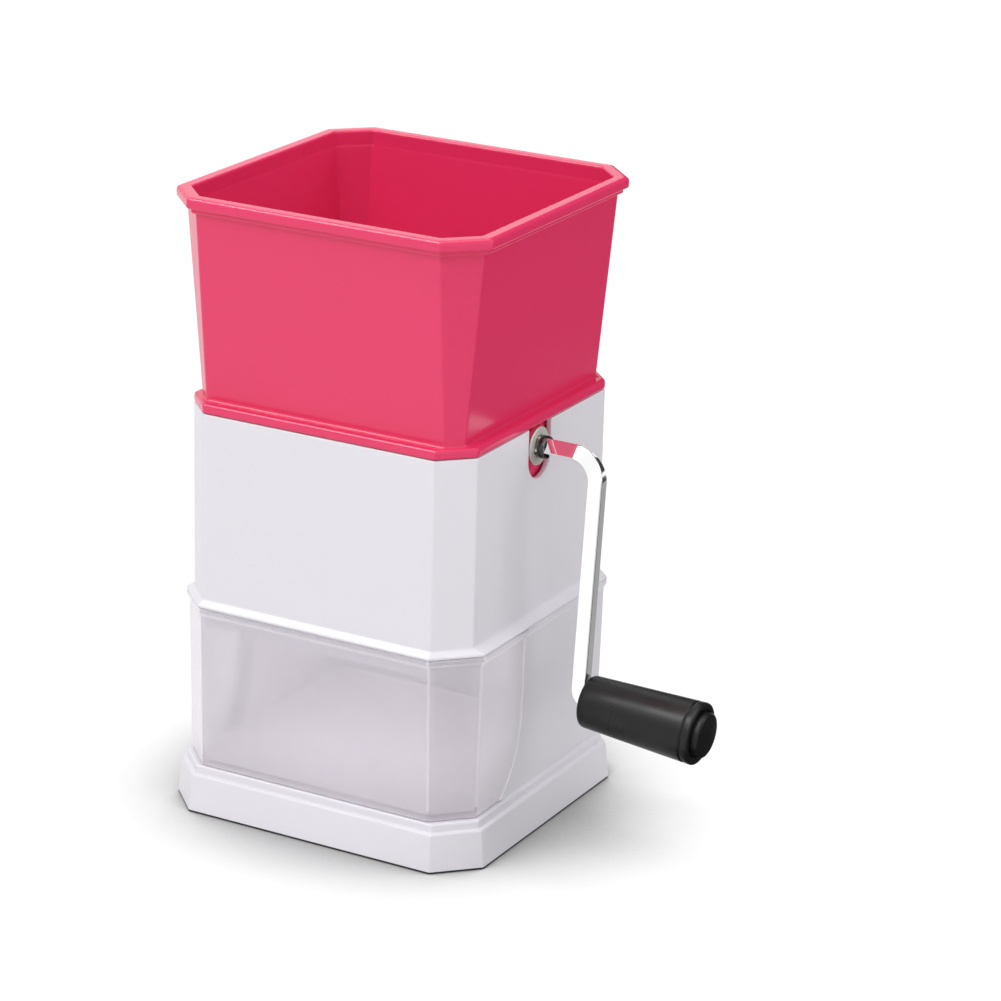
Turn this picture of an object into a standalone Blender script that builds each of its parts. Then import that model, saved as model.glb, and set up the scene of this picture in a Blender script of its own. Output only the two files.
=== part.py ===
"""Hand cranked vegetable chopper: hopper, cutter, body, collecting tray and stand.

The frame is +Z up with its origin in the middle of the non-slip pad's underside. The tray slides out
towards -Y, and the crank turns about a line along X on the +X side.
"""

import math
from dataclasses import dataclass, replace

import bmesh
import bpy
from mathutils import Matrix, Vector

MM = 0.001

# Clearances
CLEAR = 0.3 * MM
RUNNING = 0.12 * MM

# Half width and half depth of the upper body, which the other tiers follow
BODY_X = 57.6 * MM
BODY_Y = 57.4 * MM
BODY_CORNER = 10.9 * MM

# Non-slip pad, bottom cover and plinth of the stand
PAD_THICK = 1.6 * MM
PAD_INSET = 3.6 * MM
PLINTH_LIFT = 0.8 * MM
PLINTH_OUT_X = 6.7 * MM
PLINTH_OUT_Y = 4.1 * MM
PLINTH_CORNER = 14.0 * MM
PLINTH_DRAFT = 1.4 * MM
PLINTH_FACE = 12.5 * MM
PLINTH_ROUND = 1.2 * MM
STEP_RISE = 2.4 * MM
STEP_WIDTH = 1.7 * MM
SKIRT_WALL = 2.2 * MM
COVER_THICK = 2.4 * MM
COVER_FIT = 0.4 * MM
FLOOR_THICK = 2.0 * MM
POST_RADIUS = 4.0 * MM
POST_INSET = 16.0 * MM

# Stand walls and the flared rim on top of them
STAND_OUT_X = 2.0 * MM
STAND_OUT_Y = 0.4 * MM
STAND_CORNER = 12.6 * MM
STAND_FLARE = 1.1 * MM
STAND_WALL = 2.0 * MM
STAND_HEIGHT = 58.4 * MM
LIP_OUT = 0.9 * MM
LIP_RISE = 1.3 * MM
LIP_HEIGHT = 1.7 * MM
RIM_HEIGHT = 2.6 * MM

# Collecting tray
TRAY_FRONT_REACH = 43.6 * MM
TRAY_CURVE_START = 32.0 * MM
TRAY_CURVE_BACK = 14.0 * MM
TRAY_WALL = 2.0 * MM
TRAY_FLOOR = 1.5 * MM
TRAY_BOX_INSET_X = 5.1 * MM
TRAY_BOX_INSET_BACK = 9.9 * MM
TRAY_BOX_HEIGHT = 50.1 * MM
TRAY_BOX_WALL = 1.5 * MM
GUIDE_HEIGHT = 5.4 * MM
GUIDE_LENGTH = 54.0 * MM

# Upper body
BODY_WALL = 2.2 * MM
BODY_HEIGHT = 69.2 * MM
FLANGE_EDGE = 0.8 * MM
FLANGE_SLOPE = 1.7 * MM
SPIGOT_DEPTH = 8.3 * MM
SPIGOT_WALL = 2.2 * MM
SLOT_DROP = 3.6 * MM
SLOT_RADIUS = 8.0 * MM

# Hopper
HOPPER_FLANGE = 3.4 * MM
HOPPER_FLANGE_ROUND = 1.0 * MM
HOPPER_FOOT_INSET = 4.5 * MM
HOPPER_FOOT_CORNER = 5.1 * MM
HOPPER_WALL_HEIGHT = 69.0 * MM
HOPPER_SPREAD = 6.1 * MM
HOPPER_TOP_CORNER = 10.9 * MM
HOPPER_WALL = 1.8 * MM
RIM_BAND_OUT = 1.7 * MM
RIM_BAND_HEIGHT = 1.9 * MM
RIM_ROLL_OUT = 3.3 * MM
RIM_ROLL_HEIGHT = 3.9 * MM
RIM_ROLL_ROUND = 1.2 * MM
SKIRT_DEPTH = 37.0 * MM
SKIRT_GAP = 0.6 * MM

# Crank axis and the bearings on it
AXIS_Y = -2.0 * MM
AXIS_BELOW_BODY_TOP = 8.0 * MM
BOSS_RADIUS = 7.4 * MM
BOSS_REACH = 3.9 * MM
BOSS_PROUD = 1.6 * MM
BUSH_RADIUS = 6.0 * MM
JOURNAL_RADIUS = 4.5 * MM
WASHER_RADIUS = 7.3 * MM
WASHER_BORE = 4.0 * MM
WASHER_THICK = 1.2 * MM
COLLAR_RADIUS = 4.4 * MM
COLLAR_LENGTH = 2.8 * MM

# Crank rod
ROD_HALF = 2.6 * MM
ROD_EDGE = 1.0 * MM
ROD_FIT = 0.2 * MM
ARM_OFFSET = 80.8 * MM
ARM_LENGTH = 91.2 * MM
ARM_LEAN = math.radians(2.6)
PIN_DROOP = math.radians(3.4)
ARM_BEND = 9.0 * MM
PIN_BEND = 5.0 * MM

# Grip on the crank's pin
GRIP_START = 3.1 * MM
GRIP_LENGTH = 45.0 * MM
GRIP_INNER_RADIUS = 9.5 * MM
GRIP_OUTER_RADIUS = 11.4 * MM
GRIP_ROUND = 1.2 * MM
GRIP_MOUTH = 4.9 * MM
CAP_RADIUS = 8.3 * MM
CAP_PROUD = 3.0 * MM
CAP_PLUG_RADIUS = 6.4 * MM
CAP_PLUG_DEPTH = 4.0 * MM

# Cutter
BLADE_COUNT = 9
BLADE_PITCH = 10.0 * MM
BLADE_THICK = 1.0 * MM
BLADE_RADIUS = 24.5 * MM
BLADE_ARMS = 3
SPACER_RADIUS = 9.0 * MM
NUT_RADIUS = 6.5 * MM
NUT_THICK = 0.8 * MM
COMB_SLOT = 4.0 * MM
COMB_TIP_GAP = 1.2 * MM
COMB_SLOT_EXTRA = 3.0 * MM
COMB_THICK = 3.6 * MM
COMB_FALL = 14.0 * MM
COMB_BAR = 3.0 * MM
COMB_BAR_DEPTH = 22.0 * MM
PLATE_THICK = 1.0 * MM
PLATE_SLOT = 2.6 * MM
PLATE_BAND = 5.0 * MM

# Screws
SCREW_RADIUS = 1.1 * MM
SCREW_HEAD_RADIUS = 2.5 * MM
SCREW_HEAD_HEIGHT = 1.3 * MM
SCREW_HEAD_LAND = 0.3 * MM
SCREW_TIP = 0.45 * MM
PAN_HEAD_RADIUS = 2.1 * MM
PAN_HEAD_HEIGHT = 0.8 * MM
COMB_SCREW_LENGTH = 4.2 * MM
COMB_SCREW_SPAN = 30.0 * MM
COMB_SCREW_RISE = 4.0 * MM
COVER_SCREW_LENGTH = 9.0 * MM
PLATE_SCREW_LENGTH = 3.4 * MM
PLATE_SCREW_SPAN = 44.6 * MM

ROUND_SIDES = 32
SCREW_SIDES = 16
ROD_SIDES_PER_EDGE = 4


@dataclass(frozen=True)
class Octagon:
    """A rectangle with its corners cut off at 45 degrees: half widths and the cut's leg."""

    x: float
    y: float
    corner: float

    def grown(self, by):
        """The octagon with each of its eight edges moved out by the same distance."""
        return Octagon(self.x + by, self.y + by, self.corner + by * (2 - math.sqrt(2)))

    def points(self, z):
        """Its eight corners at a height, anticlockwise seen from above."""
        x, y, c = self.x, self.y, self.corner
        flat = [
            (x, -y + c), (x, y - c), (x - c, y), (-x + c, y),
            (-x, y - c), (-x, -y + c), (-x + c, -y), (x - c, -y),
        ]
        return [Vector((px, py, z)) for px, py in flat]


# Heights that follow from the driving sizes
Z_FACE_TOP = PLINTH_LIFT + PLINTH_FACE
Z_STEP = Z_FACE_TOP + PLINTH_ROUND
Z_FLOOR = Z_STEP + STEP_RISE + PLINTH_ROUND * 0.6
Z_COVER = PAD_THICK + CLEAR
Z_WALL_TOP = Z_FLOOR + STAND_HEIGHT
Z_LIP = Z_WALL_TOP + LIP_RISE
Z_RIM = Z_LIP + LIP_HEIGHT
Z_TRAY = Z_FLOOR + CLEAR
Z_TRAY_INSIDE = Z_TRAY + TRAY_FLOOR
Z_TRAY_BOX = Z_TRAY + TRAY_BOX_HEIGHT
Z_FLANGE = Z_RIM + CLEAR
Z_BODY = Z_FLANGE + FLANGE_EDGE + FLANGE_SLOPE
Z_BODY_TOP = Z_BODY + BODY_HEIGHT
Z_SPIGOT = Z_FLANGE - SPIGOT_DEPTH
AXIS_Z = Z_BODY_TOP - AXIS_BELOW_BODY_TOP
Z_HOPPER = Z_BODY_TOP + CLEAR
Z_HOPPER_FOOT = Z_HOPPER + HOPPER_FLANGE
Z_HOPPER_TOP = Z_HOPPER_FOOT + HOPPER_WALL_HEIGHT
Z_SKIRT = Z_HOPPER - SKIRT_DEPTH

# Outlines that follow from the driving sizes
PLINTH = Octagon(BODY_X + PLINTH_OUT_X, BODY_Y + PLINTH_OUT_Y, PLINTH_CORNER)
STAND_FOOT = Octagon(BODY_X + STAND_OUT_X, BODY_Y + STAND_OUT_Y, STAND_CORNER)
STAND_TOP = replace(STAND_FOOT.grown(STAND_FLARE), corner=STAND_CORNER + STAND_FLARE)
STAND_LIP = STAND_TOP.grown(LIP_OUT)
TRAY_BOX_X = BODY_X - TRAY_BOX_INSET_X
TRAY_BOX_BACK = BODY_Y - TRAY_BOX_INSET_BACK
BODY = Octagon(BODY_X, BODY_Y, BODY_CORNER)
BODY_INSIDE = BODY.grown(-BODY_WALL)
SPIGOT = Octagon(
    STAND_TOP.x - TRAY_WALL - 2 * CLEAR - STAND_FLARE,
    STAND_TOP.y - TRAY_WALL - 2 * CLEAR,
    BODY_CORNER + CLEAR,
)
SPIGOT_INSIDE = SPIGOT.grown(-SPIGOT_WALL)
SKIRT = BODY_INSIDE.grown(-SKIRT_GAP)
SKIRT_INSIDE = SKIRT.grown(-HOPPER_WALL)
HOPPER_FOOT = Octagon(BODY_X - HOPPER_FOOT_INSET, BODY_Y - HOPPER_FOOT_INSET, HOPPER_FOOT_CORNER)
HOPPER_TOP = Octagon(
    HOPPER_FOOT.x + HOPPER_SPREAD, HOPPER_FOOT.y + HOPPER_SPREAD, HOPPER_TOP_CORNER
)
HOPPER_FOOT_INSIDE = HOPPER_FOOT.grown(-HOPPER_WALL)
HOPPER_TOP_INSIDE = HOPPER_TOP.grown(-HOPPER_WALL)

# Places along the crank's axis, from the middle outwards
STACK_END = (BLADE_COUNT - 1) / 2 * BLADE_PITCH + BLADE_THICK / 2
BOSS_INNER = SKIRT_INSIDE.x - BOSS_REACH
DRIVE_BOSS_OUTER = SKIRT.x + BOSS_PROUD
BLIND_BORE_END = SKIRT_INSIDE.x + HOPPER_WALL / 3
WASHER_START = DRIVE_BOSS_OUTER + CLEAR
COLLAR_START = WASHER_START + WASHER_THICK + CLEAR
ROD_END = -BOSS_INNER - BOSS_REACH / 2

# Colours: base colour, roughness and metallic value
WHITE = ("white_plastic", (0.80, 0.79, 0.83, 1.0), 0.32, 0.0)
PINK = ("pink_plastic", (0.80, 0.045, 0.13, 1.0), 0.28, 0.0)
CLEAR_PLASTIC = ("clear_plastic", (0.86, 0.84, 0.89, 0.45), 0.18, 0.0)
BLACK = ("black_plastic", (0.012, 0.012, 0.013, 1.0), 0.42, 0.0)
RUBBER = ("grey_rubber", (0.035, 0.035, 0.038, 1.0), 0.8, 0.0)
CHROME = ("chrome", (0.82, 0.82, 0.83, 1.0), 0.08, 1.0)
STEEL = ("stainless_steel", (0.62, 0.61, 0.60, 1.0), 0.25, 1.0)
NYLON = ("nylon", (0.78, 0.76, 0.70, 1.0), 0.5, 0.0)


def material(look):
    """The Principled material of one look, made once."""
    name, colour, roughness, metallic = look
    found = bpy.data.materials.get(name)
    if found:
        return found
    made = bpy.data.materials.new(name)
    made.use_nodes = True
    shader = made.node_tree.nodes["Principled BSDF"]
    shader.inputs["Base Color"].default_value = colour
    shader.inputs["Alpha"].default_value = colour[3]
    shader.inputs["Roughness"].default_value = roughness
    shader.inputs["Metallic"].default_value = metallic
    made.diffuse_color = colour
    return made


def add_object(name, mesh, look, smooth_angle=None):
    """Links a mesh as a named object with its material."""
    mesh.materials.clear()
    mesh.materials.append(material(look))
    if smooth_angle is not None:
        mesh.shade_smooth()
        mesh.set_sharp_from_angle(angle=smooth_angle)
    made = bpy.data.objects.new(name, mesh)
    bpy.context.scene.collection.objects.link(made)
    return made


def add_copies(name, mesh, look, places):
    """One numbered object for each placing matrix, all sharing one mesh with rounded shading."""
    for number, place in enumerate(places, start=1):
        add_object(f"{name}_{number}", mesh, look, math.radians(40)).matrix_world = place


def loft(rings, closed):
    """A mesh through rings of equal length: closed back on itself, or capped at both ends."""
    mesh = bpy.data.meshes.new("loft")
    shape = bmesh.new()
    loops = [[shape.verts.new(p) for p in ring] for ring in rings]
    pairs = list(zip(loops, loops[1:]))
    if closed:
        pairs.append((loops[-1], loops[0]))
    for lower, upper in pairs:
        count = len(lower)
        for i in range(count):
            j = (i + 1) % count
            shape.faces.new((lower[i], lower[j], upper[j], upper[i]))
    if not closed:
        shape.faces.new(list(reversed(loops[0])))
        shape.faces.new(loops[-1])
    bmesh.ops.recalc_face_normals(shape, faces=shape.faces)
    shape.to_mesh(mesh)
    shape.free()
    return mesh


def stacked(levels, closed=True):
    """A mesh through octagons, each given with its height."""
    return loft([octagon.points(z) for octagon, z in levels], closed)


def box(low, high):
    """A box mesh between two corners."""
    x0, y0, z0 = low
    x1, y1, z1 = high
    outline = [(x0, y0), (x1, y0), (x1, y1), (x0, y1)]
    return loft([[Vector((x, y, z)) for x, y in outline] for z in (z0, z1)], closed=False)


def prism_along_x(outline, x0, x1):
    """A mesh of a Y-Z outline extruded along X."""
    return loft([[Vector((x, y, z)) for y, z in outline] for x in (x0, x1)], closed=False)


def joined(meshes):
    """One mesh that holds several separate closed shapes."""
    shape = bmesh.new()
    for mesh in meshes:
        shape.from_mesh(mesh)
    mesh = bpy.data.meshes.new("joined")
    shape.to_mesh(mesh)
    shape.free()
    return mesh


def combine(mesh, operation, *others):
    """A mesh after Boolean modifiers with other meshes: UNION, DIFFERENCE or INTERSECT."""
    target = bpy.data.objects.new("target", mesh)
    bpy.context.scene.collection.objects.link(target)
    tools = []
    for other in others:
        tool = bpy.data.objects.new("tool", other)
        tool.hide_render = True
        tool.display_type = "WIRE"
        bpy.context.scene.collection.objects.link(tool)
        step = target.modifiers.new("step", "BOOLEAN")
        step.operation = operation
        step.solver = "EXACT"
        step.object = tool
        tools.append(tool)
    bpy.context.view_layer.update()
    view = bpy.context.evaluated_depsgraph_get()
    result = bpy.data.meshes.new_from_object(target.evaluated_get(view))
    for item in [target, *tools]:
        bpy.data.objects.remove(item)
    return result


def circle_radius(radius):
    """The same radius at every angle."""
    return lambda angle: radius


def square_radius(half, edge):
    """The distance from the middle of a square with rounded corners to its edge, by angle."""

    def at(angle):
        c, s = abs(math.cos(angle)), abs(math.sin(angle))
        flat = half / max(c, s)
        if min(c, s) * flat <= half - edge:
            return flat
        centre = half - edge
        along = centre * (c + s)
        return along + math.sqrt(max(along * along - 2 * centre * centre + edge * edge, 0.0))

    return at


def square_angles():
    """Angles that follow a square's sides and rounded corners, evenly within each quarter."""
    inner = math.atan2(ROD_HALF - ROD_EDGE, ROD_HALF)
    corner = math.pi / 2 - 2 * inner
    angles = []
    for quarter in range(4):
        start = quarter * math.pi / 2 + inner
        angles += [start + corner * i / (ROD_SIDES_PER_EDGE - 1) for i in range(ROD_SIDES_PER_EDGE)]
    return angles


def even_angles(sides=ROUND_SIDES):
    """Evenly spaced angles, half a step off the axes."""
    return [2 * math.pi * (i + 0.5) / sides for i in range(sides)]


def turned(profile, angles=None, closed=True):
    """A mesh round the X axis through (x, radius) points. A radius may be a function of angle."""
    angles = angles or even_angles()
    rings = []
    for x, radius in profile:
        at = radius if callable(radius) else circle_radius(radius)
        rings.append([Vector((x, at(a) * math.cos(a), at(a) * math.sin(a))) for a in angles])
    return loft(rings, closed)


def moved(mesh, offset):
    """The mesh after a shift."""
    mesh.transform(Matrix.Translation(Vector(offset)))
    return mesh


def at_each(mesh, places):
    """One mesh with a copy of a shape at each placing matrix."""
    copies = []
    for place in places:
        copy = mesh.copy()
        copy.transform(place)
        copies.append(copy)
    return joined(copies)


def screw_shape(length):
    """A countersunk screw along +X with its head's flat face at x 0."""
    head, tip = SCREW_HEAD_HEIGHT, SCREW_TIP
    profile = [
        (0.0, SCREW_HEAD_RADIUS), (SCREW_HEAD_LAND, SCREW_HEAD_RADIUS), (head, SCREW_RADIUS),
        (length - tip, SCREW_RADIUS), (length, SCREW_RADIUS - tip),
    ]
    return turned(profile, even_angles(SCREW_SIDES), closed=False)


def screw_hole(length):
    """The space for a countersunk screw, open at its head."""
    head, shank = SCREW_HEAD_HEIGHT + CLEAR, SCREW_RADIUS + CLEAR
    wide = SCREW_HEAD_RADIUS + CLEAR
    profile = [(-head, wide), (SCREW_HEAD_LAND, wide), (head + CLEAR, shank), (length + CLEAR, shank)]
    return turned(profile, even_angles(SCREW_SIDES), closed=False)


def plain_hole(start, end):
    """The space for a screw's shank along +X."""
    wide = SCREW_RADIUS + CLEAR
    return turned([(start, wide), (end, wide)], even_angles(SCREW_SIDES), closed=False)


def tray_side_outline(grow, bottom, top, front):
    """The Y-Z outline of the tray's wide front: straight back edge above, a curve below.

    grow moves the back edge out, towards +Y and down.
    """
    back = -STAND_FOOT.y + TRAY_FRONT_REACH + grow
    start = Vector((back, Z_FLOOR + TRAY_CURVE_START))
    pull = Vector((back, Z_FLOOR + TRAY_CURVE_START / 3))
    end = Vector((back - TRAY_CURVE_BACK, Z_FLOOR))
    steps = 10
    curve = []
    for i in range(steps + 1):
        t = i / steps
        point = start * (1 - t) ** 2 + pull * (2 * t * (1 - t)) + end * t ** 2
        curve.append((point.x, point.y))
    curve[-1] = (curve[-1][0], bottom)
    return [(-front, bottom), (-front, top), (back, top), *curve]


def cover_post_places(z):
    """Where the bottom cover is screwed on, as matrices that point +X upwards at a height."""
    x, y = PLINTH.x - POST_INSET, PLINTH.y - POST_INSET
    upwards = Matrix.Rotation(-math.pi / 2, 4, "Y")
    corners = [(sx * x, sy * y) for sx in (-1, 1) for sy in (-1, 1)]
    return [Matrix.Translation((px, py, z)) @ upwards for px, py in corners]


def build_stand():
    """The lower housing: a hollow plinth with a floor, three walls, a flared rim and tray guides."""
    shoulder = PLINTH.grown(-PLINTH_DRAFT)
    ledge = shoulder.grown(-PLINTH_ROUND)
    step = ledge.grown(-STEP_WIDTH + PLINTH_ROUND)
    step_top = step.grown(-PLINTH_ROUND * 0.6)
    skirt_low = PLINTH.grown(-SKIRT_WALL)
    skirt_high = shoulder.grown(-SKIRT_WALL)
    levels = [
        (skirt_high, Z_FLOOR - FLOOR_THICK - STEP_RISE / 2),
        (skirt_low, PLINTH_LIFT),
        (PLINTH, PLINTH_LIFT),
        (shoulder, Z_FACE_TOP),
        (shoulder.grown(-PLINTH_ROUND * 0.3), Z_FACE_TOP + PLINTH_ROUND * 0.7),
        (ledge, Z_STEP),
        (step, Z_STEP),
        (step, Z_STEP + STEP_RISE),
        (step_top, Z_FLOOR),
    ]
    plinth = stacked(levels, closed=False)
    wall_foot = (STAND_FOOT, Z_FLOOR - FLOOR_THICK / 2)
    rim_inside = SPIGOT.grown(CLEAR)
    walls = stacked([
        wall_foot,
        (STAND_TOP, Z_WALL_TOP),
        (STAND_LIP, Z_LIP),
        (STAND_LIP, Z_RIM),
        (rim_inside, Z_RIM),
        (rim_inside, Z_RIM - RIM_HEIGHT),
        (STAND_TOP.grown(-STAND_WALL), Z_RIM - 2 * RIM_HEIGHT),
        (STAND_FOOT.grown(-STAND_WALL), wall_foot[1]),
    ])
    reach = PLINTH.x
    front = tray_side_outline(CLEAR, Z_FLOOR - FLOOR_THICK, Z_RIM + LIP_RISE, PLINTH.y + LIP_RISE)
    walls = combine(walls, "DIFFERENCE", prism_along_x(front, -reach, reach))
    post_places = cover_post_places(Z_COVER)
    post_foot = COVER_THICK + CLEAR
    post_top = Z_FLOOR - FLOOR_THICK / 2 - Z_COVER
    post = turned([(post_foot, POST_RADIUS), (post_top, POST_RADIUS)], even_angles(SCREW_SIDES),
                  closed=False)
    guides = []
    guide_in = TRAY_BOX_X + CLEAR
    guide_out = STAND_FOOT.x - STAND_WALL / 2
    guide_back = TRAY_BOX_BACK
    for side in (-1, 1):
        x0, x1 = sorted((side * guide_in, side * guide_out))
        guides.append(box((x0, guide_back - GUIDE_LENGTH, Z_FLOOR - FLOOR_THICK / 2),
                          (x1, guide_back, Z_FLOOR + GUIDE_HEIGHT)))
    stand = combine(plinth, "UNION", walls, at_each(post, post_places), *guides)
    stand = combine(stand, "DIFFERENCE", at_each(screw_hole(COVER_SCREW_LENGTH), post_places))
    return add_object("lower_housing", stand, WHITE)


def build_underside():
    """The bottom cover, its four screws and the non-slip pad."""
    inside = PLINTH.grown(-SKIRT_WALL - COVER_FIT)
    cover = stacked([(inside, Z_COVER), (inside, Z_COVER + COVER_THICK)], closed=False)
    places = cover_post_places(Z_COVER)
    cover = combine(cover, "DIFFERENCE", at_each(screw_hole(COVER_SCREW_LENGTH), places))
    add_object("base_cover", cover, WHITE)
    add_copies("base_screw", screw_shape(COVER_SCREW_LENGTH), STEEL, places)
    pad = PLINTH.grown(-PAD_INSET)
    add_object("base_pad", stacked([(pad, 0.0), (pad, PAD_THICK)], closed=False), RUBBER)


def build_tray():
    """The clear collecting tray: a wide front that closes the stand, and a box behind it."""
    outer = stacked([
        (STAND_FOOT, Z_TRAY), (STAND_TOP, Z_WALL_TOP), (STAND_LIP, Z_LIP), (STAND_LIP, Z_RIM),
    ], closed=False)
    reach = STAND_LIP.x + TRAY_WALL
    above = Z_RIM + TRAY_WALL
    side = tray_side_outline(0.0, Z_TRAY - TRAY_WALL, above, reach)
    outer = combine(outer, "INTERSECT", prism_along_x(side, -reach, reach))
    rear = box((-TRAY_BOX_X, -STAND_FOOT.y / 2, Z_TRAY), (TRAY_BOX_X, TRAY_BOX_BACK, Z_TRAY_BOX))
    outer = combine(outer, "UNION", rear)
    inner = stacked([
        (STAND_FOOT.grown(-TRAY_WALL), Z_TRAY_INSIDE), (STAND_TOP.grown(-TRAY_WALL), Z_WALL_TOP),
        (STAND_TOP.grown(-TRAY_WALL), above),
    ], closed=False)
    side = tray_side_outline(-TRAY_WALL, Z_TRAY, Z_TRAY_BOX + TRAY_WALL, reach)
    hollow = combine(inner, "INTERSECT", prism_along_x(side, -reach, reach))
    inside_x = TRAY_BOX_X - TRAY_BOX_WALL
    hollow = combine(hollow, "UNION", box(
        (-inside_x, -STAND_FOOT.y + 3 * TRAY_WALL, Z_TRAY_INSIDE),
        (inside_x, TRAY_BOX_BACK - TRAY_BOX_WALL, above)))
    clear = STAND_TOP.grown(-TRAY_WALL)
    open_back = stacked([(clear, Z_TRAY_BOX), (clear, above)], closed=False)
    tray = combine(outer, "DIFFERENCE", hollow)
    tray = combine(tray, "DIFFERENCE", open_back)
    return add_object("collection_tray", tray, CLEAR_PLASTIC)


def build_body():
    """The upper body: a tube with a flange that caps the stand, a spigot and a slot for the crank."""
    levels = [
        (SPIGOT, Z_SPIGOT),
        (SPIGOT, Z_FLANGE),
        (STAND_LIP, Z_FLANGE),
        (STAND_LIP, Z_FLANGE + FLANGE_EDGE),
        (BODY, Z_BODY),
        (BODY, Z_BODY_TOP),
        (BODY_INSIDE, Z_BODY_TOP),
        (BODY_INSIDE, Z_BODY),
        (SPIGOT_INSIDE, Z_FLANGE),
        (SPIGOT_INSIDE, Z_SPIGOT),
    ]
    tube = stacked(levels)
    low = AXIS_Z - SLOT_DROP
    outline = [(AXIS_Y + SLOT_RADIUS, Z_BODY_TOP + BODY_WALL), (AXIS_Y - SLOT_RADIUS, Z_BODY_TOP + BODY_WALL)]
    steps = 16
    for i in range(steps + 1):
        angle = math.pi + math.pi * i / steps
        outline.append((AXIS_Y + SLOT_RADIUS * math.cos(angle), low + SLOT_RADIUS * math.sin(angle)))
    slot = prism_along_x(outline, BODY_X - 2 * BODY_WALL, BODY_X + BODY_WALL)
    return add_object("upper_body", combine(tube, "DIFFERENCE", slot), WHITE)


def build_hopper():
    """The pink hopper: rolled rim, tapering walls, a flange, and a skirt that holds the cutter."""
    flange = BODY
    band = HOPPER_TOP.grown(RIM_BAND_OUT)
    roll = HOPPER_TOP.grown(RIM_ROLL_OUT)
    z_band = Z_HOPPER_TOP + RIM_BAND_HEIGHT
    z_roll = z_band + RIM_ROLL_HEIGHT
    levels = [
        (SKIRT, Z_SKIRT),
        (SKIRT, Z_HOPPER),
        (flange, Z_HOPPER),
        (flange, Z_HOPPER_FOOT - HOPPER_FLANGE_ROUND),
        (flange.grown(-HOPPER_FLANGE_ROUND), Z_HOPPER_FOOT),
        (HOPPER_FOOT, Z_HOPPER_FOOT),
        (HOPPER_TOP, Z_HOPPER_TOP),
        (band, Z_HOPPER_TOP),
        (band, z_band),
        (roll, z_band),
        (roll, z_roll - RIM_ROLL_ROUND),
        (roll.grown(-RIM_ROLL_ROUND), z_roll),
        (HOPPER_TOP_INSIDE.grown(RIM_ROLL_ROUND), z_roll),
        (HOPPER_TOP_INSIDE, z_roll - RIM_ROLL_ROUND),
        (HOPPER_TOP_INSIDE, Z_HOPPER_TOP),
        (HOPPER_FOOT_INSIDE, Z_HOPPER_FOOT),
        (HOPPER_FOOT_INSIDE, Z_HOPPER),
        (SKIRT_INSIDE, Z_HOPPER),
        (SKIRT_INSIDE, Z_SKIRT),
    ]
    shell = stacked(levels)
    axis = (0.0, AXIS_Y, AXIS_Z)
    drive_boss = turned([(BOSS_INNER, BOSS_RADIUS), (DRIVE_BOSS_OUTER, BOSS_RADIUS)], closed=False)
    idle_boss = turned([(-SKIRT_INSIDE.x - HOPPER_WALL / 2, BOSS_RADIUS), (-BOSS_INNER, BOSS_RADIUS)],
                       closed=False)
    seat = BUSH_RADIUS + CLEAR
    drive_bore = turned([(BOSS_INNER - HOPPER_WALL, seat), (DRIVE_BOSS_OUTER + HOPPER_WALL, seat)],
                        closed=False)
    idle_bore = turned([(-BLIND_BORE_END, seat), (-BOSS_INNER + HOPPER_WALL, seat)], closed=False)
    shell = combine(shell, "UNION", moved(drive_boss, axis), moved(idle_boss, axis))
    holes = at_each(screw_hole(COMB_SCREW_LENGTH), comb_screw_places())
    shell = combine(shell, "DIFFERENCE", moved(drive_bore, axis), moved(idle_bore, axis), holes)
    return add_object("hopper", shell, PINK)


def comb_screw_places():
    """Where the combs' screws start, as matrices that point +X into the chamber."""
    z = Z_HOPPER - COMB_BAR_DEPTH + COMB_SCREW_RISE
    places = []
    for side in (-1, 1):
        inwards = Matrix.Rotation(-side * math.pi / 2, 4, "Z")
        for x in (-COMB_SCREW_SPAN, COMB_SCREW_SPAN):
            places.append(Matrix.Translation((x, side * SKIRT.y, z)) @ inwards)
    return places


def comb_numbers(side):
    """Where a comb's wall, tip and slot end lie in Y, and the heights of its top at both ends."""
    wall = side * (SKIRT_INSIDE.y - CLEAR)
    tip = AXIS_Y + side * (SPACER_RADIUS + COMB_TIP_GAP)
    slot_end = AXIS_Y + side * (BLADE_RADIUS + COMB_SLOT_EXTRA)
    high = Z_HOPPER - CLEAR
    low = high - COMB_FALL
    return wall, tip, slot_end, high, low


def slot_boxes(width, y0, y1, z0, z1):
    """One box for each blade, as wide as the slot that it turns in."""
    boxes = []
    for i in range(BLADE_COUNT):
        x = (i - (BLADE_COUNT - 1) / 2) * BLADE_PITCH
        boxes.append(box((x - width / 2, min(y0, y1), z0), (x + width / 2, max(y0, y1), z1)))
    return joined(boxes)


def comb_shape(side):
    """A sloping comb between the chamber's wall and the blades, with a bar that is screwed on."""
    wall, tip, slot_end, high, low = comb_numbers(side)
    bar = wall - side * COMB_BAR
    fall = COMB_FALL / abs(wall - tip)
    under_bar = high - abs(wall - bar) * fall - COMB_THICK
    bottom = high - COMB_BAR_DEPTH
    outline = [
        (wall, high), (tip, low), (tip, low - COMB_THICK), (bar, under_bar), (bar, bottom), (wall, bottom),
    ]
    reach = SKIRT_INSIDE.x
    comb = prism_along_x(outline, -reach, reach)
    chamber = SKIRT_INSIDE.grown(-CLEAR)
    inside = stacked([(chamber, bottom - COMB_BAR), (chamber, high + COMB_BAR)], closed=False)
    comb = combine(comb, "INTERSECT", inside)
    slots = slot_boxes(COMB_SLOT, slot_end, AXIS_Y, bottom - COMB_BAR, high + COMB_BAR)
    holes = at_each(screw_hole(COMB_SCREW_LENGTH), comb_screw_places())
    return combine(comb, "DIFFERENCE", slots, holes)


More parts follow.
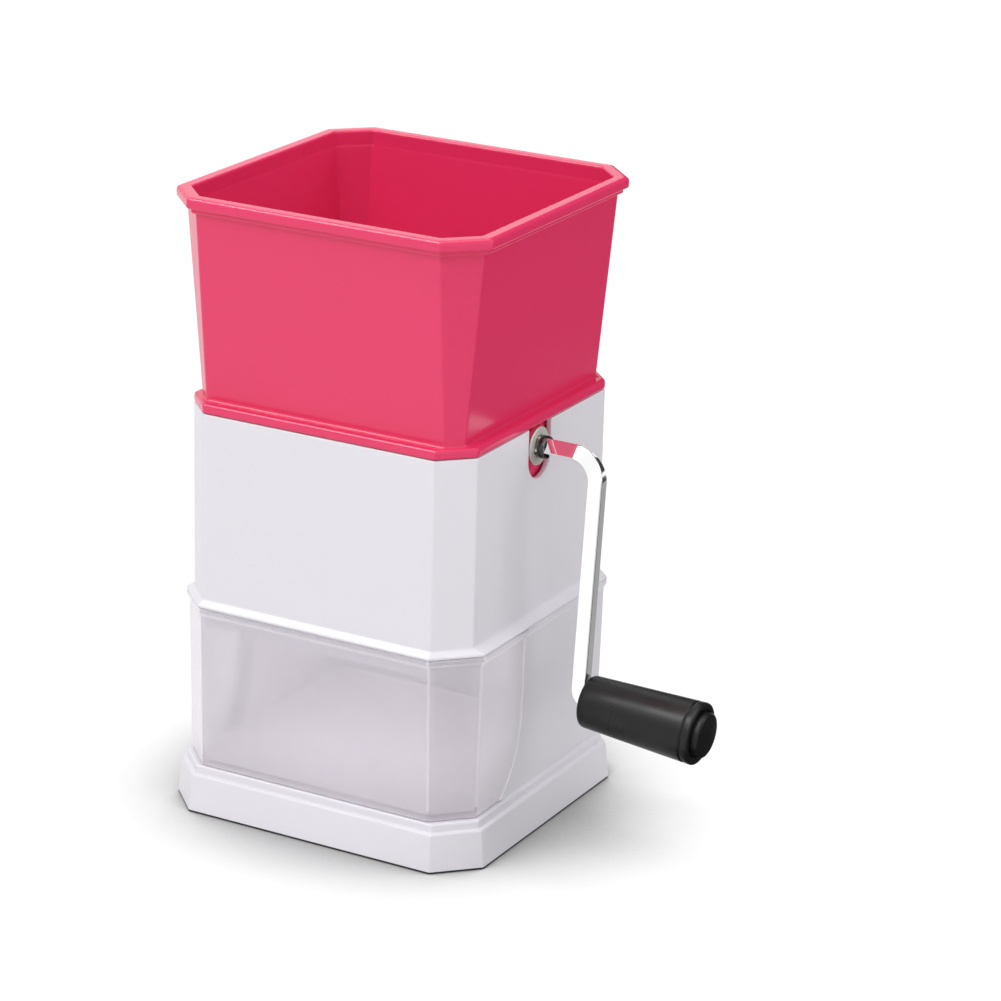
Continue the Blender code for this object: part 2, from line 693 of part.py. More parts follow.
def build_combs():
    """The two combs, and the fixed steel plate with its two screws on the front one."""
    wall, tip, slot_end, high, low = comb_numbers(-1)
    slope = math.atan2(COMB_FALL, tip - wall)
    lying = Matrix.Translation((0.0, tip, low)) @ Matrix.Rotation(-slope, 4, "X")
    length = (tip - slot_end) / math.cos(slope) + PLATE_BAND
    reach = SKIRT_INSIDE.x - 2 * CLEAR
    top = CLEAR + PLATE_THICK
    plate = box((-reach, -length, CLEAR), (reach, 0.0, top))
    plate.transform(lying)
    slots = slot_boxes(PLATE_SLOT, slot_end, AXIS_Y, low - COMB_THICK, high + COMB_BAR)
    downwards = Matrix.Rotation(math.pi / 2, 4, "Y")
    places = []
    for x in (-PLATE_SCREW_SPAN, PLATE_SCREW_SPAN):
        places.append(lying @ Matrix.Translation((x, PLATE_BAND / 2 - length, top + CLEAR)) @ downwards)
    holes = at_each(plain_hole(-PLATE_THICK, PLATE_SCREW_LENGTH + CLEAR), places)
    add_object("shear_plate", combine(plate, "DIFFERENCE", slots, holes), STEEL)
    profile = [
        (-PAN_HEAD_HEIGHT, PAN_HEAD_RADIUS - PAN_HEAD_HEIGHT / 2), (-PAN_HEAD_HEIGHT / 2, PAN_HEAD_RADIUS),
        (0.0, PAN_HEAD_RADIUS), (0.0, SCREW_RADIUS), (PLATE_SCREW_LENGTH, SCREW_RADIUS),
    ]
    screw = turned(profile, even_angles(SCREW_SIDES), closed=False)
    add_copies("plate_screw", screw, STEEL, places)
    add_object("front_comb", combine(comb_shape(-1), "DIFFERENCE", holes), WHITE)
    add_object("rear_comb", comb_shape(1), WHITE)


def build_bearings():
    """The two bushes, the washer outside the drive side, and the combs' screws."""
    axis = (0.0, AXIS_Y, AXIS_Z)
    bore = JOURNAL_RADIUS + RUNNING
    ends = {
        "drive_bush": (BOSS_INNER, DRIVE_BOSS_OUTER),
        "idle_bush": (-BLIND_BORE_END + CLEAR, -BOSS_INNER),
    }
    for name, (x0, x1) in ends.items():
        ring = turned([(x0, BUSH_RADIUS), (x1, BUSH_RADIUS), (x1, bore), (x0, bore)])
        add_object(name, ring, NYLON, math.radians(40)).location = axis
    x0, x1 = WASHER_START, WASHER_START + WASHER_THICK
    ring = turned([(x0, WASHER_RADIUS), (x1, WASHER_RADIUS), (x1, WASHER_BORE), (x0, WASHER_BORE)])
    add_object("drive_washer", ring, STEEL, math.radians(40)).location = axis
    add_copies("comb_screw", screw_shape(COMB_SCREW_LENGTH), STEEL, comb_screw_places())


def on_axis(made, empty):
    """Hangs a piece on the crank's axis."""
    made.parent = empty
    return made


def rod_section(centre, along, corner_share):
    """One ring of the crank rod, square to a direction in the X-Z plane.

    corner_share 0 gives the rod's square with its small edge radius, and 1 gives a circle.
    """
    edge = ROD_EDGE + (ROD_HALF - ROD_EDGE) * corner_share
    at = square_radius(ROD_HALF, edge)
    side = Vector((0.0, 1.0, 0.0))
    up = side.cross(along) * -1
    return [centre + side * (at(a) * math.cos(a)) + up * (at(a) * math.sin(a)) for a in square_angles()]


def rod_path():
    """The rod's middle line as (point, direction, roundness), from its inner end to its pin's tip."""
    out = Vector((1.0, 0.0, 0.0))
    down = Vector((-math.sin(ARM_LEAN), 0.0, -math.cos(ARM_LEAN)))
    pin = Vector((math.cos(PIN_DROOP), 0.0, -math.sin(PIN_DROOP)))
    first = Vector((ARM_OFFSET, 0.0, 0.0))
    second = first + down * ARM_LENGTH
    path = [(Vector((ROD_END, 0.0, 0.0)), out, 0.0)]
    for corner, before, after, radius, shares in (
        (first, out, down, ARM_BEND, (0.0, 0.0)),
        (second, down, pin, PIN_BEND, (0.0, 1.0)),
    ):
        turn = math.acos(max(-1.0, min(1.0, before.dot(after))))
        cut = radius * math.tan(turn / 2)
        sense = 1 if before.cross(after).y > 0 else -1
        steps = 8
        point = corner - before * cut
        centre = point + (Matrix.Rotation(sense * math.pi / 2, 3, "Y") @ before) * radius
        for i in range(steps + 1):
            spin = Matrix.Rotation(sense * turn * i / steps, 3, "Y")
            share = shares[0] + (shares[1] - shares[0]) * i / steps
            path.append((centre + spin @ (point - centre), spin @ before, share))
    tip = second + pin * (GRIP_START + GRIP_LENGTH + CAP_PROUD / 2)
    path.append((tip, pin, 1.0))
    return path, second, pin


def build_crank(axis):
    """The bent rod, its collar, the journals, the blades and the spacers, all turning together."""
    path, _, _ = rod_path()
    rod = loft([rod_section(*place) for place in path], closed=False)
    on_axis(add_object("crank_rod", rod, CHROME, math.radians(30)), axis)
    bore = square_radius(ROD_HALF + ROD_FIT, ROD_EDGE)
    angles = sorted(even_angles(24) + square_angles())

    def ring(name, x0, x1, radius, look):
        shape = turned([(x0, radius), (x1, radius), (x1, bore), (x0, bore)], angles)
        return on_axis(add_object(name, shape, look, math.radians(40)), axis)

    ring("crank_collar", COLLAR_START, COLLAR_START + COLLAR_LENGTH, COLLAR_RADIUS, CHROME)
    flange = SPACER_RADIUS - CLEAR
    start = STACK_END + CLEAR
    shoulder = BOSS_INNER - CLEAR
    drive_end = DRIVE_BOSS_OUTER
    profile = [(start, flange), (shoulder, flange), (shoulder, JOURNAL_RADIUS),
               (drive_end, JOURNAL_RADIUS), (drive_end, bore), (start, bore)]
    on_axis(add_object("drive_trunnion", turned(profile, angles), NYLON, math.radians(40)), axis)
    ring("push_nut", -start - NUT_THICK, -start, NUT_RADIUS, STEEL)
    start += NUT_THICK + CLEAR
    idle_end = BLIND_BORE_END - CLEAR
    profile = [(-idle_end, JOURNAL_RADIUS), (-shoulder, JOURNAL_RADIUS), (-shoulder, flange),
               (-start, flange), (-start, bore), (-idle_end, bore)]
    on_axis(add_object("idle_trunnion", turned(profile, angles), NYLON, math.radians(40)), axis)
    for i in range(BLADE_COUNT):
        x = (i - (BLADE_COUNT - 1) / 2) * BLADE_PITCH
        twist = 2 * math.pi / BLADE_ARMS * i / BLADE_COUNT
        on_axis(add_object(f"cutter_blade_{i + 1}", blade_shape(x, twist), STEEL), axis)
        if i + 1 < BLADE_COUNT:
            gap = BLADE_THICK / 2 + CLEAR
            ring(f"blade_spacer_{i + 1}", x + gap, x + BLADE_PITCH - gap, SPACER_RADIUS, NYLON)


# One arm of a blade as (degrees, share of the blade's radius)
ARM_OUTLINE = (
    (0.0, 0.43), (12.0, 0.50), (26.0, 0.66), (40.0, 0.84), (52.0, 0.97), (56.0, 1.0), (59.0, 0.92),
    (62.0, 0.72), (66.0, 0.54), (73.0, 0.44), (95.0, 0.43),
)


def blade_shape(x, twist):
    """A flat steel blade with three hooked arms and a square hole."""
    bore = square_radius(ROD_HALF + ROD_FIT, ROD_EDGE)
    step = 360.0 / BLADE_ARMS
    outer = []
    for arm in range(BLADE_ARMS):
        for degrees, share in ARM_OUTLINE:
            outer.append(((math.radians(arm * step + degrees) + twist) % (2 * math.pi), BLADE_RADIUS * share))
    outer.sort()
    for angle in square_angles():
        if all(abs(angle - a) > math.radians(1.0) for a, _ in outer):
            outer.append((angle, between(outer, angle)))
            outer.sort()
    rings = []
    for side, use_bore in ((-0.5, False), (0.5, False), (0.5, True), (-0.5, True)):
        place = x + side * BLADE_THICK
        ring = []
        for angle, radius in outer:
            r = bore(angle) if use_bore else radius
            ring.append(Vector((place, r * math.cos(angle), r * math.sin(angle))))
        rings.append(ring)
    return loft(rings, closed=True)


def between(outline, angle):
    """The radius of a straight-sided outline at an angle between two of its points."""
    after = next((i for i, (a, _) in enumerate(outline) if a > angle), 0)
    a0, r0 = outline[after - 1]
    a1, r1 = outline[after]
    span = (a1 - a0) % (2 * math.pi)
    into = (angle - a0) % (2 * math.pi)
    bottom = r0 * math.sin(into) + r1 * math.sin(span - into)
    return r0 * r1 * math.sin(span) / bottom


def build_grip(axis):
    """The tapered grip that spins on the crank's pin, and the cap that keeps it on."""
    _, corner, _ = rod_path()
    pin = bpy.data.objects.new("grip_axis", None)
    pin.parent = axis
    pin.location = corner
    pin.rotation_euler = (0.0, PIN_DROOP, 0.0)
    bpy.context.scene.collection.objects.link(pin)
    x0, x1 = GRIP_START, GRIP_START + GRIP_LENGTH
    bore = ROD_HALF + RUNNING
    socket = CAP_PLUG_RADIUS + CLEAR
    profile = [
        (x0, GRIP_INNER_RADIUS - GRIP_ROUND), (x0 + GRIP_ROUND, GRIP_INNER_RADIUS),
        (x1 - GRIP_ROUND, GRIP_OUTER_RADIUS), (x1, GRIP_OUTER_RADIUS - GRIP_ROUND),
        (x1, socket), (x1 - CAP_PLUG_DEPTH - CLEAR, socket), (x1 - CAP_PLUG_DEPTH - CLEAR, bore),
        (x0 + GRIP_MOUTH, bore), (x0, GRIP_MOUTH),
    ]
    on_axis(add_object("grip", turned(profile), BLACK, math.radians(30)), pin)
    hold = ROD_HALF + RUNNING
    end = x1 + CLEAR + CAP_PROUD
    depth = x1 + CAP_PROUD / 2 + CLEAR
    profile = [
        (x1 - CAP_PLUG_DEPTH, hold), (x1 - CAP_PLUG_DEPTH, CAP_PLUG_RADIUS),
        (x1 + CLEAR, CAP_PLUG_RADIUS), (x1 + CLEAR, CAP_RADIUS),
        (end - GRIP_ROUND, CAP_RADIUS), (end, CAP_RADIUS - GRIP_ROUND), (end, hold / 2), (depth, hold / 2),
        (depth, hold),
    ]
    solid = turned(profile[:-3] + [(end, CAP_RADIUS / 2)], closed=False)
    blind = turned([(x1 - CAP_PLUG_DEPTH - CLEAR, hold), (depth, hold)], closed=False)
    on_axis(add_object("grip_end_cap", combine(solid, "DIFFERENCE", blind), BLACK, math.radians(30)), pin)


def main():
    """Clears the scene and builds every piece."""
    for old in list(bpy.data.objects):
        bpy.data.objects.remove(old)
    build_stand()
    build_underside()
    build_tray()
    build_body()
    build_hopper()
    build_combs()
    build_bearings()
    axis = bpy.data.objects.new("crank_axis", None)
    axis.location = (0.0, AXIS_Y, AXIS_Z)
    bpy.context.scene.collection.objects.link(axis)
    build_crank(axis)
    build_grip(axis)
    bpy.context.view_layer.update()


main()
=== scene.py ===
"""The looks of a hand cranked vegetable chopper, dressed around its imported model.

Lengths in the classes are in millimetres, and MM turns them into the frame's metres. +Z is up, the tray
slides out towards -Y, and the crank is on the +X side.
"""

from __future__ import annotations

import logging
import math
from dataclasses import dataclass, field
from enum import Enum
from typing import ClassVar, Mapping, Sequence, Union

import bpy
import bmesh
from mathutils import Matrix, Vector

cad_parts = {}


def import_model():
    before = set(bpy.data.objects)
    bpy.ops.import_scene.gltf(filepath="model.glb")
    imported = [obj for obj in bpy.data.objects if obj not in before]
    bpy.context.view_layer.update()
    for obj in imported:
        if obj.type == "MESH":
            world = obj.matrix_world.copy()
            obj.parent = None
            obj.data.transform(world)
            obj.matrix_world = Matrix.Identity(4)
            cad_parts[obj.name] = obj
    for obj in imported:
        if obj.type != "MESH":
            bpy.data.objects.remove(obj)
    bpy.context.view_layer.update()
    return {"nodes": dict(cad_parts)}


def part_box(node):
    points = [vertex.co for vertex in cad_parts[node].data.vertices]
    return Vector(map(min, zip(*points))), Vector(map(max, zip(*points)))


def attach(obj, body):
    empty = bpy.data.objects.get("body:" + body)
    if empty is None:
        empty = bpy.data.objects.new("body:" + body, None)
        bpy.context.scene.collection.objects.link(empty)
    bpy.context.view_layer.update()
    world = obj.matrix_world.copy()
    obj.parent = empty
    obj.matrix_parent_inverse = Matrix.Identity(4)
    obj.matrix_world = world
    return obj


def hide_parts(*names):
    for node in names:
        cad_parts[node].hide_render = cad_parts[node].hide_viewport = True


LOG = logging.getLogger("chopper")
MM = 0.001
SMOOTH_UNDER = math.radians(35.0)
ARC_STEPS = 5
EDGE_STEPS = 5
SUPPORT = 1.7
FLAT_WEIGHT = 80

Colour = tuple[float, float, float]
Point = tuple[float, ...]


class Body(Enum):
    """The groups of pieces that move as one."""

    HOUSING = "housing"
    TRAY = "tray"
    HOPPER = "hopper"
    ROTOR = "rotor"
    GRIP = "grip"


class Slot(Enum):
    """The record's material slots."""

    WHITE = "white_plastic"
    PINK = "pink_plastic"
    CLEAR = "clear_plastic"
    BLACK = "black_plastic"
    RUBBER = "grey_rubber"
    CHROME = "chrome"
    STEEL = "stainless_steel"
    NYLON = "nylon"


# Node graphs


class Value:
    """An output socket that takes part in Python expressions."""

    def __init__(self, graph: Graph, socket: bpy.types.NodeSocket | None) -> None:
        """Keeps the socket and the graph that new nodes go into."""
        self.graph = graph
        self.socket = socket

    def _math(self, operation: str, first: Operand, second: Operand) -> Value:
        """The result of a Math node with an operation on two numbers or sockets."""
        return self.graph.node("ShaderNodeMath", {"operation": operation}, {0: first, 1: second})

    def __add__(self, other: Operand) -> Value:
        """This value plus another."""
        return self._math("ADD", self, other)

    def __radd__(self, other: Operand) -> Value:
        """A number plus this value."""
        return self._math("ADD", other, self)

    def __sub__(self, other: Operand) -> Value:
        """This value minus another."""
        return self._math("SUBTRACT", self, other)

    def __rsub__(self, other: Operand) -> Value:
        """A number minus this value."""
        return self._math("SUBTRACT", other, self)

    def __mul__(self, other: Operand) -> Value:
        """This value times another."""
        return self._math("MULTIPLY", self, other)

    def __rmul__(self, other: Operand) -> Value:
        """A number times this value."""
        return self._math("MULTIPLY", other, self)


Operand = Union[Value, float]


class Graph:
    """A node tree that is written as expressions."""

    def __init__(self, tree: bpy.types.NodeTree) -> None:
        """Keeps the tree that the nodes go into."""
        self.tree = tree

    def node(
        self,
        kind: str,
        settings: Mapping[str, object] | None = None,
        sockets: Mapping[str | int, object] | None = None,
        output: str | int = 0,
    ) -> Value:
        """Adds a node of any kind.

        Args:
            kind: The node's type.
            settings: Its properties, set first; "stops" are a colour ramp's (position, colour) pairs.
            sockets: Values or links for its inputs, by name or index.
            output: The output that is wanted.

        Returns:
            That output, or a value without a socket for a node that has none.
        """
        made = self.tree.nodes.new(kind)
        for key, value in (settings or {}).items():
            if key == "stops":
                self._set_stops(made, value)
            else:
                setattr(made, key, value)
        for key, value in (sockets or {}).items():
            if isinstance(value, Value):
                self.tree.links.new(value.socket, made.inputs[key])
            else:
                made.inputs[key].default_value = value
        return Value(self, made.outputs[output] if made.outputs else None)

    @staticmethod
    def _set_stops(made: bpy.types.Node, stops: Sequence[tuple[float, Colour]]) -> None:
        """Sets a colour ramp's stops.

        Args:
            made: The ramp's node.
            stops: Positions and colours, from left to right.
        """
        elements = made.color_ramp.elements
        while len(elements) < len(stops):
            elements.new(1.0)
        for element, (position, colour) in zip(elements, stops):
            element.position = position
            element.color = (*colour, 1.0)

    def spot(self) -> Value:
        """The place on the object, in its own metres."""
        return self.node("ShaderNodeTexCoord", output="Object")

    def place(self, stretch: Point = (1.0, 1.0, 1.0)) -> Value:
        """The place on the object, scaled by a factor along each axis."""
        return self.node("ShaderNodeMapping", {}, {"Vector": self.spot(), "Scale": stretch})

    def ray(self, kind: str) -> Value:
        """1 for a ray of a kind, such as "Is Camera Ray", and 0 for others."""
        return self.node("ShaderNodeLightPath", output=kind)

    def emission(self, colour: Colour, strength: float = 1.0) -> Value:
        """An even emission."""
        return self.node("ShaderNodeEmission", {}, {"Color": (*colour, 1.0), "Strength": strength})

    def noise(self, place: Value, size: float, detail: float = 2.0, roughness: float = 0.5) -> Value:
        """Noise with features of a size in millimetres."""
        sockets = {"Vector": place, "Scale": 1.0 / (size * MM), "Detail": detail, "Roughness": roughness}
        return self.node("ShaderNodeTexNoise", {}, sockets, "Fac")

    def ramp(self, value: Value, low: float, high: float, start: float = 0.0, end: float = 1.0) -> Value:
        """Maps low..high of a value smoothly to start..end."""
        sockets = {"Value": value, "From Min": low, "From Max": high, "To Min": start, "To Max": end}
        return self.node("ShaderNodeMapRange", {"interpolation_type": "SMOOTHSTEP"}, sockets)

    def mix(self, share: Operand, first: Colour | Value, second: Colour | Value) -> Value:
        """Mixes two colours.

        Args:
            share: The share of the second.
            first: The first colour.
            second: The second colour.

        Returns:
            The mixed colour.
        """
        ends = [(*c, 1.0) if isinstance(c, tuple) else c for c in (first, second)]
        sockets = {0: share, 6: ends[0], 7: ends[1]}
        return self.node("ShaderNodeMix", {"data_type": "RGBA"}, sockets, 2)

    def bump(self, height: Value, depth: float, strength: float = 1.0) -> Value:
        """A bumped normal from a height of 0 to 1 and its depth in millimetres."""
        sockets = {"Height": height, "Distance": depth * MM, "Strength": strength}
        return self.node("ShaderNodeBump", {}, sockets)


# Finishes


def shaded(colour: Colour, factor: float) -> Colour:
    """A colour made lighter or darker by a factor."""
    return tuple(min(channel * factor, 1.0) for channel in colour)


@dataclass(frozen=True)
class Finish:
    """A finish: its name, the slot it stands for, its colour and its roughness."""

    name: str
    slot: Slot
    colour: Colour
    roughness: float

    def sockets(self, graph: Graph) -> dict[str, object]:
        """The Principled shader's inputs. Each finish has its own."""
        raise NotImplementedError

    def surface(self, graph: Graph) -> Value:
        """The finish's shader."""
        return graph.node("ShaderNodeBsdfPrincipled", {}, self.sockets(graph))

    def material(self) -> bpy.types.Material:
        """The finish's material, made once.

        Returns:
            The material.
        """
        found = bpy.data.materials.get(self.name)
        if found:
            return found
        made = bpy.data.materials.new(self.name)
        made.use_nodes = True
        made.diffuse_color = (*self.colour, 1.0)
        made.node_tree.nodes.clear()
        graph = Graph(made.node_tree)
        graph.node("ShaderNodeOutputMaterial", {}, {"Surface": self.surface(graph)})
        return made


@dataclass(frozen=True)
class MouldedPlastic(Finish):
    """Glossy injection-moulded plastic: faint clouds, vertical draw marks, orange peel and hair scuffs."""

    cloud: float = 0.03
    cloud_size: float = 38.0
    peel_size: float = 2.2
    peel_depth: float = 0.002
    sand_size: float = 0.22
    draw_size: float = 2.4
    draw_gloss: float = 0.02
    scuff_size: float = 0.9
    scuff_gloss: float = 0.04

    def sockets(self, graph: Graph) -> dict[str, object]:
        """The shader's inputs, with colour, gloss and surface worked out from the place.

        Args:
            graph: The material's graph.

        Returns:
            The inputs' values and links by name.
        """
        place = graph.place()
        clouds = graph.noise(place, self.cloud_size, 3.0)
        draw = graph.noise(graph.place((1.0, 1.0, 0.06)), self.draw_size, 2.0)
        scuffs = graph.noise(graph.place((1.0, 0.9, 0.16)), self.scuff_size, 4.0, 0.7)
        scuffs = graph.ramp(scuffs, 0.66, 0.80)
        peel = graph.noise(place, self.peel_size, 1.0)
        sand = graph.noise(place, self.sand_size, 2.0)
        darker, lighter = shaded(self.colour, 1.0 - self.cloud), shaded(self.colour, 1.0 + self.cloud)
        colour = graph.mix(clouds, darker, lighter)
        gloss = self.roughness + (draw - 0.5) * self.draw_gloss + scuffs * self.scuff_gloss
        return {
            "Base Color": colour,
            "Roughness": gloss + (clouds - 0.5) * self.cloud,
            "Normal": graph.bump(peel + sand * 0.12, self.peel_depth, 0.6),
            "IOR": 1.49,
        }


@dataclass(frozen=True)
class ClearPlastic(Finish):
    """Slightly frosted clear plastic, which turns whiter where it is seen edge-on.

    The upright edges of the tray's front lie at edge_x and edge_y to both sides, above edge_low, and carry
    a painted highlight there: a band in which the plastic is made more opaque and so whiter.
    """

    face_alpha: float = 0.30
    edge_alpha: float = 0.80
    frost: float = 0.04
    haze_size: float = 26.0
    draw_size: float = 1.8
    scuff_size: float = 0.7
    edge_x: float = 47.0
    edge_y: float = 45.2
    edge_half: float = 0.75
    edge_low: float = 21.5
    edge_glow_share: float = 0.3

    def painted_edge_glow(self, graph: Graph) -> Value:
        """How much a place lies on one of the tray's upright edges, where a painted highlight makes the
        plastic more opaque and so whiter.

        Args:
            graph: The material's graph.

        Returns:
            1 on an edge's middle and 0 away from it.
        """
        spot = graph.spot()
        low = self.edge_low * MM
        above = graph.ramp(graph.node("ShaderNodeSeparateXYZ", {}, {0: spot}, "Z"), low, low + MM)
        total = 0.0
        for axis, place in (("X", self.edge_x), ("Y", self.edge_y)):
            side = graph.node("ShaderNodeSeparateXYZ", {}, {0: spot}, axis)
            size = graph.node("ShaderNodeMath", {"operation": "ABSOLUTE"}, {0: side})
            off = graph.node("ShaderNodeMath", {"operation": "ABSOLUTE"}, {0: size - place * MM})
            total = total + graph.ramp(off, 0.0, self.edge_half * MM, 1.0, 0.0)
        return total * above

    def sockets(self, graph: Graph) -> dict[str, object]:
        """The shader's inputs, with haze worked out from the place and the edge from the view.

        Args:
            graph: The material's graph.

        Returns:
            The inputs' values and links by name.
        """
        place = graph.place()
        haze = graph.noise(place, self.haze_size, 3.0)
        draw = graph.noise(graph.place((1.0, 1.0, 0.05)), self.draw_size, 2.0)
        scuffs = graph.noise(graph.place((0.3, 0.3, 1.0)), self.scuff_size, 4.0, 0.7)
        scuffs = graph.ramp(scuffs, 0.64, 0.80)
        facing = graph.node("ShaderNodeLayerWeight", {}, {"Blend": 0.42}, "Facing")
        edge = graph.ramp(facing, 0.10, 0.62, self.face_alpha, self.edge_alpha)
        peel = graph.noise(place, 1.6, 1.0)
        edges = self.painted_edge_glow(graph)
        return {
            "Base Color": graph.mix(haze, shaded(self.colour, 0.98), shaded(self.colour, 1.02)),
            "Roughness": self.roughness + (draw - 0.5) * 0.08 + scuffs * 0.12,
            # Alpha: frost and haze, scuffs, and the painted highlight along the upright edges.
            "Alpha": edge + (haze - 0.5) * self.frost + scuffs * self.frost + edges * self.edge_glow_share,
            "Normal": graph.bump(peel, 0.006, 0.5),
            "IOR": 1.52,
        }


@dataclass(frozen=True)
class PlatedRod(Finish):
    """Bright plating with fine polishing lines along the rod and a faint haze."""

    line_size: float = 3.0
    line_depth: float = 0.0008
    haze_size: float = 9.0
    pit_size: float = 0.8

    def sockets(self, graph: Graph) -> dict[str, object]:
        """The shader's inputs, with polishing lines and haze worked out from the place.

        Args:
            graph: The material's graph.

        Returns:
            The inputs' values and links by name.
        """
        lines = graph.noise(graph.place((1.0, 14.0, 1.0)), self.line_size, 3.0)
        haze = graph.noise(graph.place(), self.haze_size, 3.0)
        pits = graph.ramp(graph.noise(graph.place(), self.pit_size, 2.0), 0.72, 0.80)
        colour = graph.mix(haze, shaded(self.colour, 0.97), self.colour)
        return {
            "Base Color": colour,
            "Metallic": 1.0,
            "Roughness": self.roughness + haze * 0.03 + pits * 0.12,
            "Normal": graph.bump(lines, self.line_depth, 0.4),
        }


class Grain(Enum):
    """The way a steel piece was finished: straight brushing across it, or rings from turning."""

    BRUSHED = "brushed"
    TURNED = "turned"


@dataclass(frozen=True)
class Steel(Finish):
    """Stainless steel, brushed straight or turned in rings about the crank's axis."""

    grain: Grain = Grain.BRUSHED
    grain_size: float = 0.16
    grain_depth: float = 0.004
    stain_size: float = 7.0
    axis: Point = (0.0, 0.0, 0.0)

    def sockets(self, graph: Graph) -> dict[str, object]:
        """The shader's inputs, with the grain worked out from the place.

        Args:
            graph: The material's graph.

        Returns:
            The inputs' values and links by name.
        """
        if self.grain is Grain.BRUSHED:
            lines = graph.noise(graph.place((0.04, 1.0, 1.0)), self.grain_size, 3.0)
        else:
            centre = (0.0, -self.axis[1], -self.axis[2])
            flat = graph.node("ShaderNodeMapping", {}, {"Vector": graph.spot(), "Location": centre})
            across = {0: flat, 1: (0.0, 1.0, 1.0)}
            flat = graph.node("ShaderNodeVectorMath", {"operation": "MULTIPLY"}, across)
            radius = graph.node("ShaderNodeVectorMath", {"operation": "LENGTH"}, {0: flat}, "Value")
            rings = {"W": radius, "Scale": 1.0 / (self.grain_size * MM), "Detail": 3.0}
            lines = graph.node("ShaderNodeTexNoise", {"noise_dimensions": "1D"}, rings, "Fac")
        stain = graph.noise(graph.place(), self.stain_size, 3.0)
        return {
            "Base Color": graph.mix(stain, shaded(self.colour, 0.9), shaded(self.colour, 1.05)),
            "Metallic": 1.0,
            "Roughness": self.roughness + (lines - 0.5) * 0.22 + stain * 0.06,
            "Normal": graph.bump(lines, self.grain_depth, 0.6),
        }


@dataclass(frozen=True)
class SatinPlastic(Finish):
    """Satin plastic with a fine spark-eroded texture and polished high spots."""

    texture_size: float = 0.5
    texture_depth: float = 0.006
    patch_size: float = 11.0
    wear: float = 0.06
    index: float = 1.5

    def sockets(self, graph: Graph) -> dict[str, object]:
        """The shader's inputs, with texture and rubbed patches worked out from the place.

        Args:
            graph: The material's graph.

        Returns:
            The inputs' values and links by name.
        """
        place = graph.place()
        texture = graph.noise(place, self.texture_size, 3.0, 0.6)
        rubbed = graph.ramp(graph.noise(place, self.patch_size, 3.0), 0.42, 0.68)
        colour = graph.mix(rubbed, self.colour, shaded(self.colour, 1.15))
        return {
            "Base Color": colour,
            "Roughness": self.roughness - rubbed * self.wear + (texture - 0.5) * 0.08,
            "Normal": graph.bump(texture, self.texture_depth, 0.5),
            "IOR": self.index,
        }


@dataclass(frozen=True)
class CardPaint(Finish):
    """An even card that only gloss shows, in a shade of grey."""

    def surface(self, graph: Graph) -> Value:
        """The card's even shade."""
        return graph.emission(self.colour)


@dataclass(frozen=True)
class FloorPaint(Finish):
    """The studio's pale floor: it keeps the object's shadow, adds a painted shadow close to it, and meets
    the white background for the camera.
    """

    lift: float = 0.86
    white: float = 1.10
    shadow_reach: float = 62.0
    shadow_depth: float = 2.2
    shadow_most: float = 0.6
    dim_middle: Point = (0.11, -0.02, 0.0)
    dim_reach: tuple[float, float] = (0.03, 0.11)
    dim: float = 0.5
    mottle_size: float = 60.0

    def surface(self, graph: Graph) -> Value:
        """A matt coat, lifted to white for the camera, with a painted shadow close to the object, and
        painted shade right of it that only bounced light sees.

        Args:
            graph: The material's graph.

        Returns:
            The floor's shader.
        """
        mottle = graph.noise(graph.place(), self.mottle_size, 3.0)
        colour = graph.mix(mottle, shaded(self.colour, 0.995), self.colour)
        coat = {"Base Color": colour, "Roughness": self.roughness, "Specular IOR Level": 0.15}
        matt = graph.node("ShaderNodeBsdfPrincipled", {}, coat)
        nearby = {"Distance": self.shadow_reach * MM}
        clear = graph.node("ShaderNodeAmbientOcclusion", {"samples": 20}, nearby, "AO")
        bright = graph.emission((1.0, 1.0, 1.0), self.white)
        straight = graph.ray("Is Camera Ray") + graph.ray("Is Glossy Ray")
        # Painted shadow: close to the object, where the ambient occlusion finds cover, the lift to white
        # fades and the floor is mixed towards black for the camera and in gloss.
        share = straight * graph.ramp(clear, 0.50, 1.0, 0.0, self.lift)
        lifted = graph.node("ShaderNodeMixShader", {}, {0: share, 1: matt, 2: bright})
        hidden = 1.0 - clear
        depth = graph.node("ShaderNodeMath", {"operation": "MINIMUM"}, {
            0: hidden * hidden * self.shadow_depth, 1: self.shadow_most,
        })
        # Painted shade for bounced light: right of the object the floor turns darker for diffuse rays only,
        # which darkens the right side of the plinth.
        ends = {0: graph.spot(), 1: self.dim_middle}
        away = graph.node("ShaderNodeVectorMath", {"operation": "DISTANCE"}, ends, "Value")
        painted_bounce_shade = graph.ray("Is Diffuse Ray") * graph.ramp(away, *self.dim_reach, self.dim, 0.0)
        painted_shade_share = graph.node("ShaderNodeClamp", {}, {"Value": straight * depth + painted_bounce_shade})
        dark = graph.emission((0.0, 0.0, 0.0), 0.0)
        return graph.node("ShaderNodeMixShader", {}, {0: painted_shade_share, 1: lifted, 2: dark})


WHITE = MouldedPlastic("white_moulding", Slot.WHITE, (0.80, 0.775, 0.83), 0.34, cloud=0.01)
PINK = MouldedPlastic("pink_moulding", Slot.PINK, (0.81, 0.035, 0.135), 0.19, cloud=0.02)
CLEAR = ClearPlastic("clear_moulding", Slot.CLEAR, (0.93, 0.89, 0.955), 0.16)
